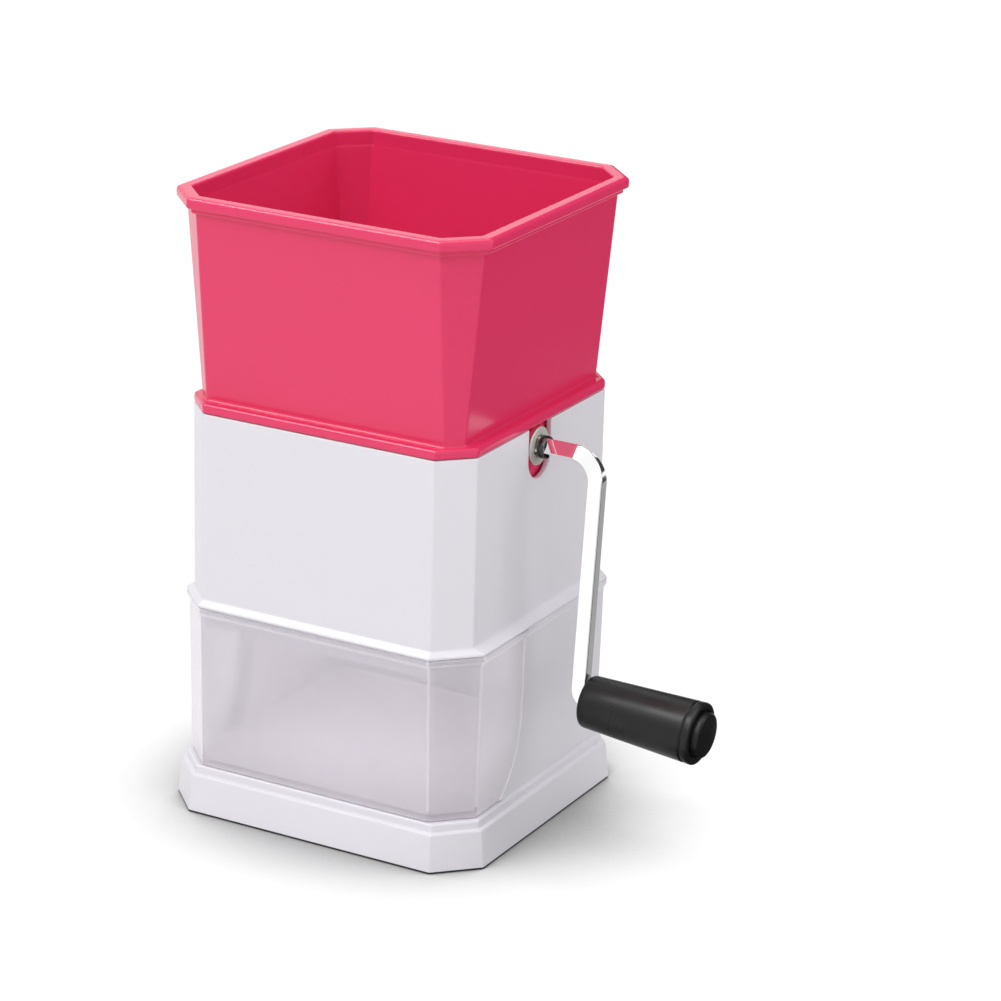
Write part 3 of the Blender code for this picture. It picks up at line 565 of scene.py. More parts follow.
# A whiter, more opaque copy of the clear plastic for the tray's thick edges and ribs: partly the thicker
# plastic, partly a painted highlight of the light lines along them.
CLEAR_EDGE_GLOW = ClearPlastic("clear_edge_glow", Slot.CLEAR, (0.98, 0.96, 0.99), 0.12, face_alpha=0.82,
                          edge_alpha=0.95)
BLACK = SatinPlastic("black_grip_plastic", Slot.BLACK, (0.010, 0.010, 0.0105), 0.33, index=1.36)
RUBBER = SatinPlastic("pad_rubber", Slot.RUBBER, (0.035, 0.035, 0.038), 0.80, texture_size=0.9)
CHROME = PlatedRod("crank_plating", Slot.CHROME, (0.97, 0.97, 0.975), 0.05)
# The collar's plating is painted dark: its low base colour stands in for the dark surroundings that the
# collar reflects.
CHROME_PAINTED_DARK = PlatedRod("collar_plating_painted_dark", Slot.CHROME, (0.10, 0.10, 0.095), 0.16)
BLADE_STEEL = Steel("blade_steel", Slot.STEEL, (0.62, 0.61, 0.60), 0.26)
SCREW_STEEL = Steel("screw_steel", Slot.STEEL, (0.58, 0.57, 0.56), 0.30, grain_size=0.3)
NYLON = SatinPlastic("natural_nylon", Slot.NYLON, (0.78, 0.76, 0.70), 0.46, texture_size=0.8,
                     texture_depth=0.01)


# Mesh building


def linked(name: str, data: bpy.types.ID) -> bpy.types.Object:
    """Puts data into the scene.

    Args:
        name: The new object's name.
        data: Its mesh, lamp or camera.

    Returns:
        The object.
    """
    item = bpy.data.objects.new(name, data)
    bpy.context.scene.collection.objects.link(item)
    return item


def finished(item: bpy.types.Object, *spare: bpy.types.Object) -> bpy.types.Mesh:
    """A plain mesh of what an object's modifiers make of it.

    Args:
        item: The object, which is removed afterwards.
        spare: Other objects that go with it.

    Returns:
        The mesh.
    """
    bpy.context.view_layer.update()
    view = bpy.context.evaluated_depsgraph_get()
    mesh = bpy.data.meshes.new_from_object(item.evaluated_get(view))
    item.modifiers.clear()
    for used in (item, *spare):
        bpy.data.objects.remove(used)
    return mesh


def length_of(point: Point, measured: Sequence[int]) -> float:
    """The length of a difference over some of its coordinates."""
    return math.sqrt(sum(point[i] ** 2 for i in measured))


def between(first: Point, second: Point, share: float) -> Point:
    """The point that lies a share of the way from the first to the second."""
    return tuple(a + (b - a) * share for a, b in zip(first, second))


def softened(
    points: Sequence[Point], cuts: Sequence[float], closed: bool, measured: Sequence[int], steps: int
) -> list[Point]:
    """Rounds a path's corners, with a support point on each side that keeps its flats flat.

    Args:
        points: The corners, with any number of coordinates.
        cuts: How far from each corner the rounding starts, 0 for a sharp one.
        closed: Whether the path returns to its start.
        measured: The coordinates that lengths are measured over.
        steps: The steps in each round.

    Returns:
        The rounded path.
    """
    result: list[Point] = []
    count = len(points)
    for i, corner in enumerate(points):
        ends = not closed and i in (0, count - 1)
        if cuts[i] <= 0.0 or ends:
            result.append(corner)
            continue
        sides = []
        for other in (points[i - 1], points[(i + 1) % count]):
            gap = length_of(tuple(a - b for a, b in zip(other, corner)), measured)
            sides.append((other, gap))
        cut = min([cuts[i]] + [0.42 * gap for _, gap in sides])
        before, after = (between(corner, other, cut / gap) for other, gap in sides)
        early, late = (between(corner, other, min(cut * SUPPORT / gap, 0.48)) for other, gap in sides)
        result.append(early)
        for step in range(steps + 1):
            share = step / steps
            result.append(between(between(before, corner, share), between(corner, after, share), share))
        result.append(late)
    return result


@dataclass(frozen=True)
class Octagon:
    """A rectangle with its corners cut off at 45 degrees: half widths and the cut's leg."""

    x: float
    y: float
    corner: float

    def grown(self, by: float) -> Octagon:
        """The octagon with each edge moved out by the same distance."""
        return Octagon(self.x + by, self.y + by, self.corner + by * (2.0 - math.sqrt(2.0)))

    def ring(self, z: float, edge: float, centre: tuple[float, float] = (0.0, 0.0)) -> list[Vector]:
        """The octagon at a height, as points in metres.

        Args:
            z: The height.
            edge: How far from each corner its rounding starts.
            centre: Where its middle is.

        Returns:
            The points, anticlockwise seen from above.
        """
        x, y, c = self.x, self.y, self.corner
        flat = [
            (x, -y + c), (x, y - c), (x - c, y), (-x + c, y),
            (-x, y - c), (-x, -y + c), (-x + c, -y), (x - c, -y),
        ]
        path = softened(flat, [edge] * len(flat), True, (0, 1), EDGE_STEPS)
        return [Vector((px + centre[0], py + centre[1], z)) * MM for px, py in path]


@dataclass(frozen=True)
class Level:
    """An octagon at a height, and how far from there the profile's rounding starts."""

    outline: Octagon
    z: float
    cut: float = 0.0


def loft(rings: Sequence[Sequence[Vector]], closed: bool) -> bpy.types.Mesh:
    """A mesh through rings of equal length.

    Args:
        rings: The rings, in order.
        closed: True joins the last ring to the first, and False caps both ends.

    Returns:
        The mesh, with its faces pointing out.
    """
    shape = bmesh.new()
    loops = [[shape.verts.new(p) for p in ring] for ring in rings]
    pairs = list(zip(loops, loops[1:]))
    if closed:
        pairs.append((loops[-1], loops[0]))
    for lower, upper in pairs:
        count = len(lower)
        for i in range(count):
            j = (i + 1) % count
            shape.faces.new((lower[i], lower[j], upper[j], upper[i]))
    if not closed:
        shape.faces.new(list(reversed(loops[0])))
        shape.faces.new(loops[-1])
    bmesh.ops.recalc_face_normals(shape, faces=shape.faces)
    mesh = bpy.data.meshes.new("loft")
    shape.to_mesh(mesh)
    shape.free()
    return mesh


def shell(
    levels: Sequence[Level], edge: float, closed: bool = True, centre: tuple[float, float] = (0.0, 0.0)
) -> bpy.types.Mesh:
    """A mesh through octagonal levels with rounded edges.

    Args:
        levels: The profile's corners, round the section if it is closed.
        edge: How far from each upright edge its rounding starts.
        closed: Whether the profile returns to its start.
        centre: Where the octagons' middle is.

    Returns:
        The mesh.
    """
    corners = [(v.outline.x, v.outline.y, v.outline.corner, v.z) for v in levels]
    path = softened(corners, [v.cut for v in levels], closed, (0, 3), ARC_STEPS)
    return loft([Octagon(x, y, c).ring(z, edge, centre) for x, y, c, z in path], closed)


def turned(
    profile: Sequence[tuple[float, float, float]], closed: bool = True, sides: int = 64
) -> bpy.types.Mesh:
    """A mesh round the X axis.

    Args:
        profile: The section's corners as (x, radius, rounding).
        closed: Whether the section returns to its start, as a ring's does.
        sides: The points in each ring.

    Returns:
        The mesh.
    """
    corners = [(x, r) for x, r, _ in profile]
    path = softened(corners, [cut for _, _, cut in profile], closed, (0, 1), ARC_STEPS)
    angles = [2.0 * math.pi * i / sides for i in range(sides)]
    rings = [[Vector((x, r * math.cos(a), r * math.sin(a))) * MM for a in angles] for x, r in path]
    return loft(rings, closed)


def block(low: Point, high: Point) -> bpy.types.Mesh:
    """A box.

    Args:
        low: Its lowest corner.
        high: Its highest corner.

    Returns:
        The mesh.
    """
    (x0, y0, z0), (x1, y1, z1) = low, high
    outline = [(x0, y0), (x1, y0), (x1, y1), (x0, y1)]
    return loft([[Vector((x, y, z)) * MM for x, y in outline] for z in (z0, z1)], closed=False)


def prism(outline: Sequence[tuple[float, float]], x0: float, x1: float) -> bpy.types.Mesh:
    """A Y-Z outline extruded along X."""
    return loft([[Vector((x, y, z)) * MM for y, z in outline] for x in (x0, x1)], closed=False)


def placed(mesh: bpy.types.Mesh, matrix: Matrix) -> bpy.types.Mesh:
    """The mesh after a transform."""
    mesh.transform(matrix)
    return mesh


def shifted(x: float, y: float, z: float) -> Matrix:
    """A shift in millimetres."""
    return Matrix.Translation(Vector((x, y, z)) * MM)


def joined(meshes: Sequence[bpy.types.Mesh]) -> bpy.types.Mesh:
    """One mesh that holds several closed shapes.

    Args:
        meshes: The shapes' meshes.

    Returns:
        The mesh.
    """
    shape = bmesh.new()
    for mesh in meshes:
        shape.from_mesh(mesh)
    result = bpy.data.meshes.new("joined")
    shape.to_mesh(result)
    shape.free()
    return result


class Cut(Enum):
    """A Boolean operation."""

    ADD = "UNION"
    TAKE = "DIFFERENCE"
    KEEP = "INTERSECT"


def combined(mesh: bpy.types.Mesh, how: Cut, *others: bpy.types.Mesh) -> bpy.types.Mesh:
    """A mesh after Boolean operations with other meshes.

    Args:
        mesh: The mesh to start from.
        how: The operation.
        others: The meshes it is done with, one after the other.

    Returns:
        The resulting mesh.
    """
    target = linked("target", mesh)
    tools = [linked("tool", other) for other in others]
    for tool in tools:
        step = target.modifiers.new("step", "BOOLEAN")
        step.operation = how.value
        step.solver = "EXACT"
        step.object = tool
    return finished(target, *tools)


def smoothed(mesh: bpy.types.Mesh) -> bpy.types.Mesh:
    """The mesh with smooth shading that leaves its large flat faces flat.

    Args:
        mesh: The mesh.

    Returns:
        The shaded mesh.
    """
    mesh.shade_smooth()
    mesh.set_sharp_from_angle(angle=SMOOTH_UNDER)
    holder = linked("holder", mesh)
    weights = holder.modifiers.new("weights", "WEIGHTED_NORMAL")
    weights.keep_sharp = True
    weights.weight = FLAT_WEIGHT
    return finished(holder)


class Recipe:
    """A Geometry Nodes tree with named inputs, and the way to run it on a mesh."""

    def __init__(self, name: str, inputs: Mapping[str, str]) -> None:
        """Starts the tree.

        Args:
            name: The tree's name.
            inputs: Its inputs' names and socket types.
        """
        self.tree = bpy.data.node_groups.new(name, "GeometryNodeTree")
        face = self.tree.interface
        face.new_socket("Geometry", in_out="OUTPUT", socket_type="NodeSocketGeometry")
        face.new_socket("Geometry", in_out="INPUT", socket_type="NodeSocketGeometry")
        self.keys = {}
        for label, kind in inputs.items():
            self.keys[label] = face.new_socket(label, in_out="INPUT", socket_type=kind).identifier
        self.graph = Graph(self.tree)
        self.source = self.tree.nodes.new("NodeGroupInput")

    def given(self, label: str) -> Value:
        """One of the tree's inputs."""
        return Value(self.graph, self.source.outputs[label])

    def close(self, geometry: Value, finish: Finish) -> None:
        """Ends the tree: real geometry, with its material.

        Args:
            geometry: What the tree has made.
            finish: Its finish.
        """
        real = self.graph.node("GeometryNodeRealizeInstances", {}, {"Geometry": geometry})
        sockets = {"Geometry": real, "Material": finish.material()}
        dressed = self.graph.node("GeometryNodeSetMaterial", {}, sockets)
        self.graph.node("NodeGroupOutput", {}, {"Geometry": dressed})

    def run(self, mesh: bpy.types.Mesh, values: Mapping[str, object]) -> bpy.types.Mesh:
        """Runs the tree on a mesh.

        Args:
            mesh: The mesh that goes in.
            values: The inputs' values by name.

        Returns:
            A plain mesh of the result.
        """
        carrier = linked("carrier", mesh)
        modifier = carrier.modifiers.new("recipe", "NODES")
        modifier.node_group = self.tree
        for label, value in values.items():
            modifier[self.keys[label]] = value
        return finished(carrier)


def row_recipe(finish: Finish) -> Recipe:
    """A tree that repeats its geometry along X and turns each copy a little further.

    Args:
        finish: The copies' finish.

    Returns:
        The tree, with Count, Pitch, Start and Twist as inputs.
    """
    recipe = Recipe("row", {
        "Count": "NodeSocketInt", "Pitch": "NodeSocketFloat", "Start": "NodeSocketVector",
        "Twist": "NodeSocketFloat",
    })
    graph = recipe.graph
    step = graph.node("ShaderNodeCombineXYZ", {}, {"X": recipe.given("Pitch")})
    line = graph.node("GeometryNodeMeshLine", {}, {
        "Count": recipe.given("Count"), "Start Location": recipe.given("Start"), "Offset": step,
    })
    index = graph.node("GeometryNodeInputIndex")
    turn = graph.node("ShaderNodeCombineXYZ", {}, {"X": index * recipe.given("Twist")})
    spin = graph.node("FunctionNodeEulerToRotation", {}, {"Euler": turn})
    copies = graph.node("GeometryNodeInstanceOnPoints", {}, {
        "Points": line, "Instance": recipe.given("Geometry"), "Rotation": spin,
    })
    recipe.close(copies, finish)
    return recipe


def scatter_recipe(finish: Finish) -> Recipe:
    """A tree that puts a shape on each point, turned as the point's "turn" says.

    Args:
        finish: The copies' finish.

    Returns:
        The tree, with Shape as an input.
    """
    recipe = Recipe("scatter", {"Shape": "NodeSocketObject"})
    graph = recipe.graph
    shape = graph.node("GeometryNodeObjectInfo", {}, {"Object": recipe.given("Shape")}, "Geometry")
    turn = graph.node("GeometryNodeInputNamedAttribute", {"data_type": "FLOAT_VECTOR"}, {"Name": "turn"})
    spin = graph.node("FunctionNodeEulerToRotation", {}, {"Euler": turn})
    copies = graph.node("GeometryNodeInstanceOnPoints", {}, {
        "Points": recipe.given("Geometry"), "Instance": shape, "Rotation": spin,
    })
    recipe.close(copies, finish)
    return recipe


def scattered(mesh: bpy.types.Mesh, places: Sequence[Matrix], finish: Finish) -> bpy.types.Mesh:
    """Copies of a mesh at placing matrices, made by the scatter tree.

    Args:
        mesh: The shape.
        places: Where each copy goes.
        finish: Its finish.

    Returns:
        One mesh with all copies.
    """
    shape = linked("shape", mesh)
    points = bpy.data.meshes.new("points")
    points.from_pydata([place.translation for place in places], [], [])
    turns = points.attributes.new("turn", "FLOAT_VECTOR", "POINT")
    for item, place in zip(turns.data, places):
        item.vector = place.to_euler()
    result = scatter_recipe(finish).run(points, {"Shape": shape})
    bpy.data.objects.remove(shape)
    return result


def bent_path(points: Sequence[Point], bends: Sequence[float]) -> bpy.types.Mesh:
    """A path for the sweep tree.

    Args:
        points: Its points.
        bends: The radius of the bend at each.

    Returns:
        A mesh of its edges, with the radii in "bend".
    """
    path = bpy.data.meshes.new("path")
    edges = [(i, i + 1) for i in range(len(points) - 1)]
    path.from_pydata([Vector(p) * MM for p in points], edges, [])
    radii = path.attributes.new("bend", "FLOAT", "POINT")
    for item, radius in zip(radii.data, bends):
        item.value = radius * MM
    return path


def sweep_recipe(finish: Finish) -> Recipe:
    """A tree that bends a path at its points and sweeps a rounded square along it.

    Args:
        finish: The swept piece's finish.

    Returns:
        The tree, with Width, Edge, Steps and the two twists as inputs, and the lengths along the path
        between which the twist changes; a point's "bend" is the radius of its bend.
    """
    recipe = Recipe("sweep", {
        "Width": "NodeSocketFloat", "Edge": "NodeSocketFloat", "Steps": "NodeSocketInt",
        "Twist": "NodeSocketFloat", "Last Twist": "NodeSocketFloat",
        "Twist From": "NodeSocketFloat", "Twist To": "NodeSocketFloat",
    })
    graph = recipe.graph
    bend = graph.node("GeometryNodeInputNamedAttribute", {"data_type": "FLOAT"}, {"Name": "bend"})
    path = graph.node("GeometryNodeMeshToCurve", {}, {"Mesh": recipe.given("Geometry")})
    rounded = graph.node("GeometryNodeFilletCurve", {"mode": "POLY"}, {
        "Curve": path, "Count": recipe.given("Steps"), "Radius": bend,
    })
    square = graph.node("GeometryNodeCurvePrimitiveQuadrilateral", {}, {
        "Width": recipe.given("Width"), "Height": recipe.given("Width"),
    })
    section = graph.node("GeometryNodeFilletCurve", {"mode": "POLY"}, {
        "Curve": square, "Count": 6, "Radius": recipe.given("Edge"),
    })
    along = graph.node("GeometryNodeSplineParameter", {}, {}, "Length")
    twist = graph.node("ShaderNodeMapRange", {"interpolation_type": "SMOOTHSTEP"}, {
        "Value": along, "From Min": recipe.given("Twist From"), "From Max": recipe.given("Twist To"),
        "To Min": recipe.given("Twist"), "To Max": recipe.given("Last Twist"),
    })
    tilted = graph.node("GeometryNodeSetCurveTilt", {}, {"Curve": rounded, "Tilt": twist})
    swept = graph.node("GeometryNodeCurveToMesh", {}, {
        "Curve": tilted, "Profile Curve": section, "Fill Caps": True,
    })
    recipe.close(swept, finish)
    return recipe


def cross_recess(blank: bpy.types.Mesh, radius: float, start: float, depth: float) -> bpy.types.Mesh:
    """A screw with a cross sunk into its head.

    Args:
        blank: The screw, along +X.
        radius: The head's radius.
        start: Where the head starts.
        depth: How deep the cross is.

    Returns:
        The mesh.
    """
    arm, wide = radius * 0.62, radius * 0.13
    before, end = start - 1.0, start + depth
    cross = [block((before, -arm, -wide), (end, arm, wide)), block((before, -wide, -arm), (end, wide, arm))]
    return combined(blank, Cut.TAKE, *cross)


def pan_screw(radius: float, height: float, shank: float, length: float) -> bpy.types.Mesh:
    """A pan-head screw along +X with a cross recess, its head's seat at x 0.

    Args:
        radius: The head's radius.
        height: The head's height.
        shank: The shank's radius.
        length: The shank's length under the head.

    Returns:
        The mesh.
    """
    blank = turned([
        (-height, radius * 0.45, 0.0), (-height, radius * 0.7, 0.3), (-height * 0.35, radius, 0.25),
        (0.0, radius, 0.0), (0.0, shank, 0.0), (length - 0.3, shank, 0.0), (length, shank * 0.5, 0.0),
    ], closed=False, sides=24)
    return cross_recess(blank, radius, -height, height * 0.6)


@dataclass(frozen=True)
class SunkScrew:
    """A countersunk screw with a cross recess, and the hole that it sits in."""

    radius: float = 2.5
    land: float = 0.3
    depth: float = 1.3
    shank: float = 1.1
    length: float = 4.2
    gap: float = 0.3

    def mesh(self) -> bpy.types.Mesh:
        """The screw along +X, its head's flat face at x 0.

        Returns:
            The mesh.
        """
        blank = turned([
            (0.0, self.radius, 0.08), (self.land, self.radius, 0.0), (self.depth, self.shank, 0.1),
            (self.length - 0.3, self.shank, 0.0), (self.length, self.shank * 0.6, 0.0),
        ], closed=False, sides=32)
        return cross_recess(blank, self.radius, 0.0, self.depth * 0.6)

    def hole(self) -> bpy.types.Mesh:
        """The space for it, open at its head.

        Returns:
            The mesh.
        """
        wide, shank = self.radius + self.gap, self.shank + self.gap
        return turned([
            (-self.depth, wide, 0.0), (self.land, wide, 0.0), (self.depth + self.gap, shank, 0.0),
            (self.length + self.gap, shank, 0.0),
        ], closed=False, sides=32)


# Sub-assemblies


@dataclass
class SubAssembly:
    """A group of pieces that ride on one body, with the frame's heights and nodes."""

    body: ClassVar[Body]
    heights: Heights
    nodes: Mapping[str, bpy.types.Object]
    pieces: list[bpy.types.Object] = field(default_factory=list)

    def add(self, name: str, mesh: bpy.types.Mesh, finish: Finish, nodes: Sequence[str] = ()) -> None:
        """Makes a mesh a piece of the object.

        Args:
            name: The piece's name.
            mesh: Its mesh, in place.
            finish: Its finish.
            nodes: The frame's nodes that it stands for.
        """
        mesh.materials.clear()
        mesh.materials.append(finish.material())
        mesh = smoothed(mesh)
        piece = linked(name, mesh)
        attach(piece, self.body.value)
        if nodes:
            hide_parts(*nodes)
        self.pieces.append(piece)
        LOG.info("%s on %s: %d faces, %s", name, self.body.value, len(mesh.polygons), finish.name)

    def redress(self, name: str, finish: Finish) -> None:
        """Gives a node of the frame a finish.

        Args:
            name: The node's name.
            finish: Its finish.
        """
        node = self.nodes[name]
        node.data.materials.clear()
        node.data.materials.append(finish.material())
        LOG.info("%s on %s: %s", node.name, self.body.value, finish.name)

    def build(self) -> None:
        """Makes the sub-assembly's pieces."""
        raise NotImplementedError


@dataclass(frozen=True)
class Heights:
    """The heights at which the tiers meet, read from the frame, in millimetres."""

    plinth: float
    tray_bottom: float
    rim: float
    spigot: float
    body_top: float
    skirt: float
    hopper_top: float
    axis_y: float
    axis_z: float
    gap: float = 0.3

    @classmethod
    def from_frame(cls) -> Heights:
        """Reads the heights from the frame's boxes.

        Returns:
            The heights.
        """
        stand, tray, body, hopper = (
            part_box(n) for n in ("lower_housing", "collection_tray", "upper_body", "hopper")
        )
        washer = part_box("drive_washer")
        middle = (washer[0] + washer[1]) / 2.0
        return cls(
            plinth=stand[0].z / MM, tray_bottom=tray[0].z / MM, rim=stand[1].z / MM,
            spigot=body[0].z / MM, body_top=body[1].z / MM, skirt=hopper[0].z / MM,
            hopper_top=hopper[1].z / MM, axis_y=middle.y / MM, axis_z=middle.z / MM,
        )

    @property
    def floor(self) -> float:
        """The top of the plinth, under the tray."""
        return self.tray_bottom - self.gap

    @property
    def axis(self) -> Matrix:
        """The shift onto the crank's axis."""
        return shifted(0.0, self.axis_y, self.axis_z)


BODY_OUTLINE = Octagon(57.6, 57.4, 10.9)
STAND_FOOT = Octagon(59.6, 57.8, 12.6)
STAND_TOP = Octagon(60.7, 58.9, 13.7)
STAND_LIP = STAND_TOP.grown(0.9)
LIP_RISE = 1.3
LIP_HEIGHT = 1.7
TIER_EDGE = 0.6
BODY_WALL = 2.2
SPIGOT = Octagon(57.0, 56.3, 11.2)
SKIRT = BODY_OUTLINE.grown(-2.8)
TRAY_REACH = 43.6
CURVE_HEIGHT = 32.0
CURVE_REACH = 14.0
CURVE_STEPS = 28


def tray_outline(
    h: Heights, grow: float, bottom: float, top: float, front: float
) -> list[tuple[float, float]]:
    """The tray's Y-Z outline: a straight back edge above, and a curve forwards below it.

    Args:
        h: The heights.
        grow: How far the back edge moves out.
        bottom: The outline's lowest height.
        top: Its highest height.
        front: How far it reaches forwards.

    Returns:
        The outline's points.
    """
    back = -STAND_FOOT.y + TRAY_REACH + grow
    start, pull = (back, h.floor + CURVE_HEIGHT), (back, h.floor + CURVE_HEIGHT / 3.0)
    end = (back - CURVE_REACH, h.floor)
    curve = []
    for i in range(CURVE_STEPS + 1):
        share = i / CURVE_STEPS
        curve.append(between(between(start, pull, share), between(pull, end, share), share))
    curve[-1] = (curve[-1][0], bottom)
    return [(-front, bottom), (-front, top), (back, top), *curve]


@dataclass
class Stand(SubAssembly):
    """The white stand: stepped plinth, walls with a flared rim, bottom cover and non-slip pad."""

    body: ClassVar[Body] = Body.HOUSING
    plinth: Octagon = Octagon(64.3, 61.5, 14.0)
    draft: float = 1.4
    face: float = 12.5
    ledge_round: float = 1.2
    step_width: float = 1.7
    step_rise: float = 2.4
    step_draft: float = 0.72
    wall: float = 2.0
    skirt_wall: float = 2.2
    floor_thick: float = 2.0
    rim_height: float = 2.6
    seam: float = 0.2
    spigot_gap: float = 0.3
    pad_inset: float = 3.6
    lip_inset: float = 0.3
    lip_height: float = 0.62
    pip_pitch: float = 6.0
    pip_radius: float = 1.7
    pip_height: float = 0.5
    post_inset: float = 16.0
    screw_radius: float = 2.3
    screw_head: float = 0.8
    screw_shank: float = 1.1
    screw_length: float = 8.0
    guide_inner: float = 52.8
    guide_outer: float = 58.6
    guide_length: float = 54.0
    guide_height: float = 5.4
    slot_radius: float = 8.0
    slot_drop: float = 3.6
    slot_flare: float = 0.5

    def plinth_mesh(self) -> bpy.types.Mesh:
        """The stepped plinth, hollow from below.

        Returns:
            The mesh.
        """
        h = self.heights
        foot, top = h.plinth, h.floor
        shoulder = self.plinth.grown(-self.draft)
        ledge = shoulder.grown(-self.ledge_round)
        step = ledge.grown(-self.step_width + self.ledge_round)
        step_top = step.grown(-self.step_draft)
        z_face = foot + self.face
        z_ledge = z_face + self.ledge_round
        under = top - self.floor_thick - self.step_rise / 2.0
        return shell([
            Level(shoulder.grown(-self.skirt_wall), under),
            Level(self.plinth.grown(-self.skirt_wall), foot),
            Level(self.plinth, foot, 0.2),
            Level(shoulder, z_ledge, 1.8),
            Level(step, z_ledge, 0.45),
            Level(step, top, 1.1),
            Level(step_top.grown(-1.5), top),
        ], TIER_EDGE, closed=False)

    def wall_mesh(self) -> bpy.types.Mesh:
        """The walls with their flared rim, cut open where the tray goes.

        Returns:
            The mesh.
        """
        h = self.heights
        z_rim = h.rim + self.seam
        z_wall = h.rim - LIP_HEIGHT - LIP_RISE
        z_foot = h.floor - self.floor_thick / 2.0
        inside = SPIGOT.grown(self.spigot_gap)
        walls = shell([
            Level(STAND_FOOT, z_foot),
            Level(STAND_TOP, z_wall, 0.8),
            Level(STAND_LIP, z_wall + LIP_RISE, 0.5),
            Level(STAND_LIP, z_rim, 0.25),
            Level(inside, z_rim, 0.3),
            Level(inside, h.rim - self.rim_height),
            Level(STAND_TOP.grown(-self.wall), h.rim - 2.0 * self.rim_height),
            Level(STAND_FOOT.grown(-self.wall), z_foot),
        ], TIER_EDGE)
        reach = self.plinth.x
        front = tray_outline(h, h.gap, h.floor - self.floor_thick, h.rim + 2.0, self.plinth.y + 2.0)
        return combined(walls, Cut.TAKE, prism(front, -reach, reach))

    def pad_mesh(self) -> bpy.types.Mesh:
        """The non-slip pad, with a field of round pips under it.

        Returns:
            The mesh.
        """
        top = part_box("base_pad")[1].z / MM
        pad = self.plinth.grown(-self.pad_inset)
        lip = self.plinth.grown(-self.lip_inset)
        sheet = shell([
            Level(pad.grown(-2.0), self.pip_height), Level(pad.grown(-0.5), self.pip_height, 0.2),
            Level(lip, 0.0, 0.15),
            Level(lip, self.lip_height, 0.15), Level(pad, self.lip_height), Level(pad, top),
            Level(pad.grown(-2.0), top),
        ], TIER_EDGE, closed=False)
        foot = (-self.pip_height, self.pip_radius * 0.75, 0.0)
        pip = turned([(0.0, self.pip_radius, 0.0), foot], False, 10)
        downwards = Matrix.Rotation(-math.pi / 2.0, 4, "Y")
        places = []
        across = int(pad.x / self.pip_pitch)
        along = int(pad.y / self.pip_pitch)
        for i in range(-across, across + 1):
            for j in range(-along, along + 1):
                x, y = i * self.pip_pitch, j * self.pip_pitch
                corner = (pad.x + pad.y - pad.corner - abs(x) - abs(y)) / 1.4
                room = min(pad.x - abs(x), pad.y - abs(y), corner)
                if room > self.pip_radius * 1.6:
                    places.append(shifted(x, y, self.pip_height) @ downwards)
        pips = scattered(pip, places, RUBBER)
        return joined([sheet, pips])

    def build(self) -> None:
        """Makes the housing's pieces."""
        back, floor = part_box("collection_tray")[1].y / MM, self.heights.floor
        guides = []
        for side in (-1.0, 1.0):
            x0, x1 = sorted((side * self.guide_inner, side * self.guide_outer))
            low = (x0, back - self.guide_length, floor - 1.0)
            guides.append(block(low, (x1, back, floor + self.guide_height)))
        stand = combined(self.plinth_mesh(), Cut.ADD, self.wall_mesh(), *guides)
        self.add("stand_moulding", stand, WHITE, ["lower_housing"])
        self.redress("base_cover", WHITE)
        self.add("non_slip_pad", self.pad_mesh(), RUBBER, ["base_pad"])
        self.add("body_sleeve", self.sleeve_mesh(), WHITE, ["upper_body"])
        x, y = self.plinth.x - self.post_inset, self.plinth.y - self.post_inset
        upwards = Matrix.Rotation(-math.pi / 2.0, 4, "Y")
        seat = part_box("base_screw_1")[0].z / MM
        corners = [(sx * x, sy * y) for sx in (-1, 1) for sy in (-1, 1)]
        places = [shifted(*corner, seat + self.screw_head) @ upwards for corner in corners]
        screw = pan_screw(self.screw_radius, self.screw_head, self.screw_shank, self.screw_length)
        screws = scattered(screw, places, SCREW_STEEL)
        self.add("cover_screws", screws, SCREW_STEEL, [f"base_screw_{i}" for i in range(1, 5)])

    def sleeve_mesh(self) -> bpy.types.Mesh:
        """The upper body: spigot, flange and octagonal tube, with the crank's slot.

        Returns:
            The mesh.
        """
        h = self.heights
        z_flange = h.rim + h.gap
        z_edge = z_flange + 0.8
        z_wall = z_edge + 1.7
        inside, neck = BODY_OUTLINE.grown(-BODY_WALL), SPIGOT.grown(-BODY_WALL)
        tube = shell([
            Level(SPIGOT, h.spigot, 0.6),
            Level(SPIGOT, z_flange),
            Level(STAND_LIP, z_flange, 0.25),
            Level(STAND_LIP, z_edge, 0.6),
            Level(BODY_OUTLINE, z_wall, 0.7),
            Level(BODY_OUTLINE, h.body_top, 0.6),
            Level(inside, h.body_top, 0.3),
            Level(inside, z_wall),
            Level(neck, z_flange),
            Level(neck, h.spigot),
        ], TIER_EDGE)
        return combined(tube, Cut.TAKE, self.slot_mesh())

    def slot_mesh(self) -> bpy.types.Mesh:
        """The cutter for the crank's slot, which widens a little at both faces of the wall.

        Returns:
            The mesh.
        """
        h, flare = self.heights, self.slot_flare
        outer, inner = BODY_OUTLINE.x, BODY_OUTLINE.x - BODY_WALL
        middle, above = h.axis_z - self.slot_drop, h.body_top + 3.0
        steps = [(4.0, 1.0), (0.0, 1.0), (-0.3, 0.3), (-1.0, 0.0)]
        profile = [(inner - out * flare, grow * flare) for out, grow in steps]
        profile += [(outer + out * flare, grow * flare) for out, grow in reversed(steps)]
        rings = []
        for x, grow in profile:
            r = self.slot_radius + grow
            outline = [(h.axis_y + r, above), (h.axis_y - r, above)]
            for i in range(CURVE_STEPS + 1):
                angle = math.pi + math.pi * i / CURVE_STEPS
                outline.append((h.axis_y + r * math.cos(angle), middle + r * math.sin(angle)))
            rings.append([Vector((x, y, z)) * MM for y, z in outline])
        return loft(rings, closed=False)


